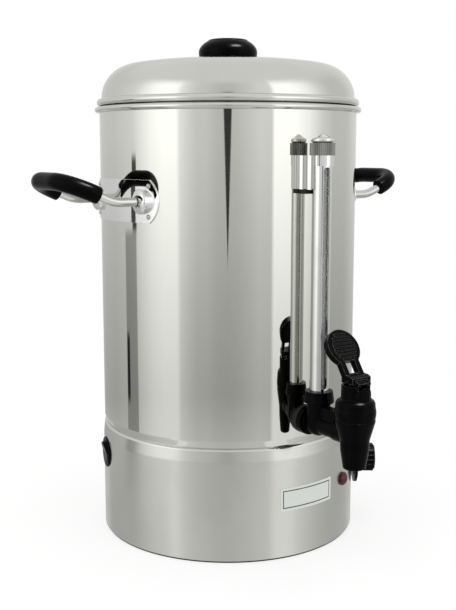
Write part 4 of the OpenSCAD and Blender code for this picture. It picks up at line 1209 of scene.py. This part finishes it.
@dataclass
class Controls(SubAssembly):
    """Thermostat, lamp, switch and cord entry in the base."""

    nodes: ClassVar[tuple[str, ...]] = (
        "thermostat",
        "thermostat_screws",
        "thermostat_shaft",
        "thermostat_knob",
        "sensor_bulb",
        "sensor_clips",
        "boil_dry_cutout",
        "terminal_block",
        "lamp_lens",
        "lamp_body",
        "lamp_nut",
        "switch_housing",
        "switch_rocker",
        "cord_gland",
        "cord_gland_nut",
    )


@dataclass(frozen=True)
class Gap:
    """A dark upright gap between the studio's walls, in degrees from the camera.

    Attributes:
        turn: Direction of its middle.
        half: Half its width at eye level.
        spread: How much that half width grows with height.
        low: Height of its lower end.
        high: Height of its upper end.
        light: Share of the walls' light that is left in it.
    """

    turn: float
    half: float
    spread: float
    low: float
    high: float
    light: float


@dataclass(frozen=True)
class Lamp:
    """A round soft lamp that hangs over the object.

    Attributes:
        name: Its name.
        size: Diameter, in metres.
        energy: Power, in watts.
        place: Where it hangs, in metres.
        lean: Turn about each axis from facing straight down, in degrees.
    """

    name: str
    size: float
    energy: float
    place: Point
    lean: Point = (0.0, 0.0, 0.0)

    def hang(self) -> bpy.types.Object:
        """Adds the lamp to the scene.

        Returns:
            The lamp's object.
        """
        light = bpy.data.lights.new(self.name, "AREA")
        light.shape = "DISK"
        light.size = self.size
        light.energy = self.energy
        lamp = bpy.data.objects.new(self.name, light)
        lamp.location = self.place
        lamp.rotation_euler = [math.radians(angle) for angle in self.lean]
        bpy.context.scene.collection.objects.link(lamp)
        return lamp


@dataclass(frozen=True)
class Studio:
    """Walls, floor and lamps round the object.

    Attributes:
        bands: Direction from the camera in degrees, and the walls' light there.
        gain: Height in degrees, and the share of that light there.
        lift: Height in degrees, and the light that is added there.
        gaps: Dark gaps between the walls.
        gap_edge: Half the width of a gap's soft edge, in degrees.
        ceiling: Light from above.
        roof: Heights in degrees where the ceiling starts, and where nothing else is left.
        tint: Colour of the light.
        floor_radius: Radius of the white table, in metres.
        floor_steps: Sides of the table.
        floor_drop: How far the table lies below the standing face, in metres.
        floor_colour: Colour of the table.
        floor_glow: Share of the table that the camera sees as white.
        overhead: Wide lamp that no surface mirrors.
        panel: Small lamp that lights the black plastic alone.
    """

    bands: tuple[Pair, ...] = (
        (-180, 0.80),
        (-150, 0.74),
        (-119, 0.80),
        (-101, 0.90),
        (-91, 0.97),
        (-84, 1.16),
        (-77, 1.32),
        (-70, 1.48),
        (-58, 1.62),
        (-45.5, 1.62),
        (-42.5, 1.20),
        (-38, 1.08),
        (-33, 0.97),
        (-27, 0.87),
        (-19, 0.85),
        (-9, 0.74),
        (0, 0.72),
        (8, 0.75),
        (17, 0.84),
        (28, 0.96),
        (38, 0.94),
        (40.5, 1.62),
        (60, 1.58),
        (74, 1.35),
        (90, 0.95),
        (105, 0.76),
        (127, 0.74),
        (143, 0.83),
        (180, 0.80),
    )
    gain: tuple[Pair, ...] = ((-90, 0.40), (-17.5, 0.40), (-14, 0.58), (-8.5, 0.71), (1, 1.0), (90, 1.0))
    lift: tuple[Pair, ...] = ((-90, 0.35), (-17.5, 0.35), (-14, 0.03), (1, 0.0), (90, 0.0))
    gaps: tuple[Gap, ...] = (
        Gap(0.0, 2.6, 0.39, -30.0, 6.0, 0.07),
        Gap(-90.3, 2.7, 0.0, -4.6, -0.4, 0.08),
        Gap(-95.7, 7.5, 0.0, -17.0, -4.6, 0.50),
        Gap(-100.8, 1.9, 0.0, -14.2, -10.4, 0.08),
        Gap(-98.0, 44.0, 0.0, -90.0, -17.2, 0.79),
        Gap(105.0, 42.0, 0.0, -90.0, -17.2, 0.84),
    )
    gap_edge: float = 0.4
    ceiling: float = 0.90
    roof: Pair = (24.0, 46.0)
    tint: Colour = (1.0, 1.0, 0.99)
    floor_radius: float = 0.46
    floor_steps: int = 96
    floor_drop: float = 0.0002
    floor_colour: Colour = (0.90, 0.90, 0.90)
    floor_glow: float = 0.72
    overhead: Lamp = Lamp("overhead", 2.4, 22.0, (-0.2, -0.3, 2.2))
    panel: Lamp = Lamp("panel", 0.8, 170.0, (0.25, -0.85, 1.9), (-24.0, 7.0, 0.0))

    def build(self) -> None:
        """Makes the walls, the floor and the lamps."""
        self._walls()
        self._floor()
        self._lamps()
        LOG.info("studio: %d bands, %d gaps", len(self.bands), len(self.gaps))

    def _walls(self) -> None:
        """Makes the world, which the camera itself sees as white."""
        world = bpy.data.worlds.new("studio")
        world.use_nodes = True
        world.node_tree.nodes.clear()
        nodes = NodeTree(world.node_tree)
        group = nodes.add("ShaderNodeGroup", node_tree=self._wall_group())
        seen = nodes.add("ShaderNodeBackground")
        seen.inputs["Color"].default_value = (1.0, 1.0, 1.0, 1.0)
        walls = nodes.add("ShaderNodeBackground")
        nodes.link(group.outputs["Colour"], walls.inputs["Color"])
        path = nodes.add("ShaderNodeLightPath")
        mix = nodes.add("ShaderNodeMixShader")
        nodes.link(path.outputs["Is Camera Ray"], mix.inputs["Fac"])
        nodes.link(walls.outputs[0], mix.inputs[1])
        nodes.link(seen.outputs[0], mix.inputs[2])
        out = nodes.add("ShaderNodeOutputWorld")
        nodes.link(mix.outputs[0], out.inputs["Surface"])
        bpy.context.scene.world = world

    def _wall_group(self) -> bpy.types.NodeTree:
        """Builds the walls' light by direction.

        Returns:
            The node group.
        """
        group = empty_group("studio walls", {}, {"Colour": "Color"})
        nodes = NodeTree(group)
        end = nodes.add("NodeGroupOutput")
        place = nodes.add("ShaderNodeTexCoord")
        turn = nodes.add("ShaderNodeVectorRotate", rotation_type="Z_AXIS")
        turn.inputs["Angle"].default_value = math.radians(-FACING)
        nodes.link(place.outputs["Generated"], turn.inputs["Vector"])
        split = nodes.add("ShaderNodeSeparateXYZ")
        nodes.link(turn.outputs["Vector"], split.inputs[0])
        ahead = nodes.math("MULTIPLY", split.outputs["Y"], -1.0)
        azimuth = nodes.math("ARCTAN2", split.outputs["X"], ahead)
        rise = nodes.math("ARCSINE", split.outputs["Z"])
        round_share = nodes.math("ADD", nodes.math("DIVIDE", azimuth, 2 * math.pi), 0.5)
        colour = nodes.stops(round_share, [(a / 360 + 0.5, light) for a, light in self.bands], self.tint)
        up_share = nodes.math("ADD", nodes.math("DIVIDE", rise, math.pi), 0.5)
        for marks, blend in ((self.gain, "MULTIPLY"), (self.lift, "ADD")):
            level = nodes.stops(up_share, [(a / 180 + 0.5, light) for a, light in marks], (1.0, 1.0, 1.0))
            colour = nodes.mix(1.0, colour, level, blend)
        for gap in self.gaps:
            colour = nodes.mix(1.0, colour, self._dim(nodes, gap, azimuth, rise), "MULTIPLY")
        roof = (*(self.ceiling * part for part in self.tint), 1.0)
        start, full = (math.radians(angle) for angle in self.roof)
        colour = nodes.mix(nodes.ramp(rise, (start, full)), colour, roof)
        nodes.link(colour, end.inputs["Colour"])
        return group

    def _dim(self, nodes: NodeTree, gap: Gap, azimuth: Socket, rise: Socket) -> Socket:
        """Light that a gap leaves.

        Args:
            nodes: The group's nodes.
            gap: The gap.
            azimuth: Direction round the urn, in radians.
            rise: Direction up, in radians.

        Returns:
            The share of light that is left.
        """
        soft = math.radians(self.gap_edge)
        away = nodes.math("ABSOLUTE", nodes.math("SUBTRACT", azimuth, math.radians(gap.turn)))
        half = nodes.math("ADD", nodes.math("MULTIPLY", rise, gap.spread), math.radians(gap.half))
        across = nodes.ramp(nodes.math("SUBTRACT", half, away), (-soft, soft))
        low, high = math.radians(gap.low), math.radians(gap.high)
        above = nodes.ramp(rise, (low - soft, low + soft))
        below = nodes.ramp(rise, (high + soft, high - soft))
        inside = nodes.math("MULTIPLY", across, nodes.math("MULTIPLY", above, below))
        return nodes.ramp(inside, (0.0, 1.0), (1.0, gap.light))

    def _floor(self) -> None:
        """Makes the white table, which keeps the urn's shadow."""
        steps = self.floor_steps
        rim = [2 * math.pi * i / steps for i in range(steps)]
        points: list[Point] = [(0.0, 0.0, 0.0)]
        points += [(self.floor_radius * math.cos(a), self.floor_radius * math.sin(a), 0.0) for a in rim]
        faces = [(0, 1 + i, 1 + (i + 1) % steps) for i in range(steps)]
        mesh = bpy.data.meshes.new("floor")
        mesh.from_pydata(points, [], faces)
        obj = bpy.data.objects.new("floor", mesh)
        obj.location.z = -self.floor_drop
        obj.visible_glossy = False
        bpy.context.scene.collection.objects.link(obj)
        material = bpy.data.materials.new("white table")
        material.use_nodes = True
        material.node_tree.nodes.clear()
        nodes = NodeTree(material.node_tree)
        matt = nodes.add("ShaderNodeBsdfDiffuse")
        matt.inputs["Color"].default_value = (*self.floor_colour, 1.0)
        glow = nodes.add("ShaderNodeEmission")
        path = nodes.add("ShaderNodeLightPath")
        mix = nodes.add("ShaderNodeMixShader")
        share = nodes.math("MULTIPLY", path.outputs["Is Camera Ray"], self.floor_glow)
        nodes.link(share, mix.inputs["Fac"])
        nodes.link(matt.outputs[0], mix.inputs[1])
        nodes.link(glow.outputs[0], mix.inputs[2])
        out = nodes.add("ShaderNodeOutputMaterial")
        nodes.link(mix.outputs[0], out.inputs["Surface"])
        mesh.materials.append(material)

    def _lamps(self) -> None:
        """Hangs the wide lamp, and the panel that only the black plastic mirrors."""
        lamp = self.overhead.hang()
        lamp.visible_glossy = False
        panel = self.panel.hang()
        panel.visible_diffuse = False
        panel.light_linking.receiver_collection = self._black_pieces()

    @staticmethod
    def _black_pieces() -> bpy.types.Collection:
        """Collects the pieces of black plastic.

        Returns:
            The collection.
        """
        names = {BLACK.name, BLACK_RIB_HIGHLIGHT.name}
        black = bpy.data.collections.new("black plastic")
        for obj in bpy.context.scene.objects:
            if obj.type == "MESH" and names & {material.name for material in obj.data.materials if material}:
                black.objects.link(obj)
        return black


@dataclass(frozen=True)
class Viewpoint:
    """Camera that stands where the photographer stood.

    Attributes:
        distance: Distance from the urn's axis, in metres.
        height: Height above the standing face, in metres.
        turn: Direction from the tap, in degrees.
        pitch: Downward tilt, in degrees.
        sensor: Width of the sensor, in millimetres.
        lens: Focal length for that sensor, in millimetres.
        near: Distance where the view starts, in metres.
    """

    distance: float = 0.8803
    height: float = 0.33075
    turn: float = FACING
    pitch: float = 8.824
    sensor: float = 36.0
    lens: float = 59.25
    near: float = 0.01

    def build(self) -> None:
        """Makes the camera."""
        data = bpy.data.cameras.new("camera")
        data.sensor_width = self.sensor
        data.sensor_fit = "AUTO"
        data.lens = self.lens
        data.clip_start = self.near
        camera = bpy.data.objects.new("camera", data)
        turn = math.radians(self.turn)
        camera.location = (self.distance * math.sin(turn), -self.distance * math.cos(turn), self.height)
        camera.rotation_euler = (math.radians(90 - self.pitch), 0.0, turn)
        bpy.context.scene.collection.objects.link(camera)
        bpy.context.scene.camera = camera


def main() -> None:
    """Builds the scene."""
    logging.basicConfig(level=logging.INFO, format="%(name)s: %(message)s")
    shop = Workshop(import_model())
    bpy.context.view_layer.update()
    bpy.context.scene.view_settings.view_transform = "Standard"
    Viewpoint().build()
    for assembly in (Tank, Base, Lid, Tap, Gauge, Handles, Controls):
        assembly(shop).build()
    Studio().build()


if __name__ == "__main__":
    main()
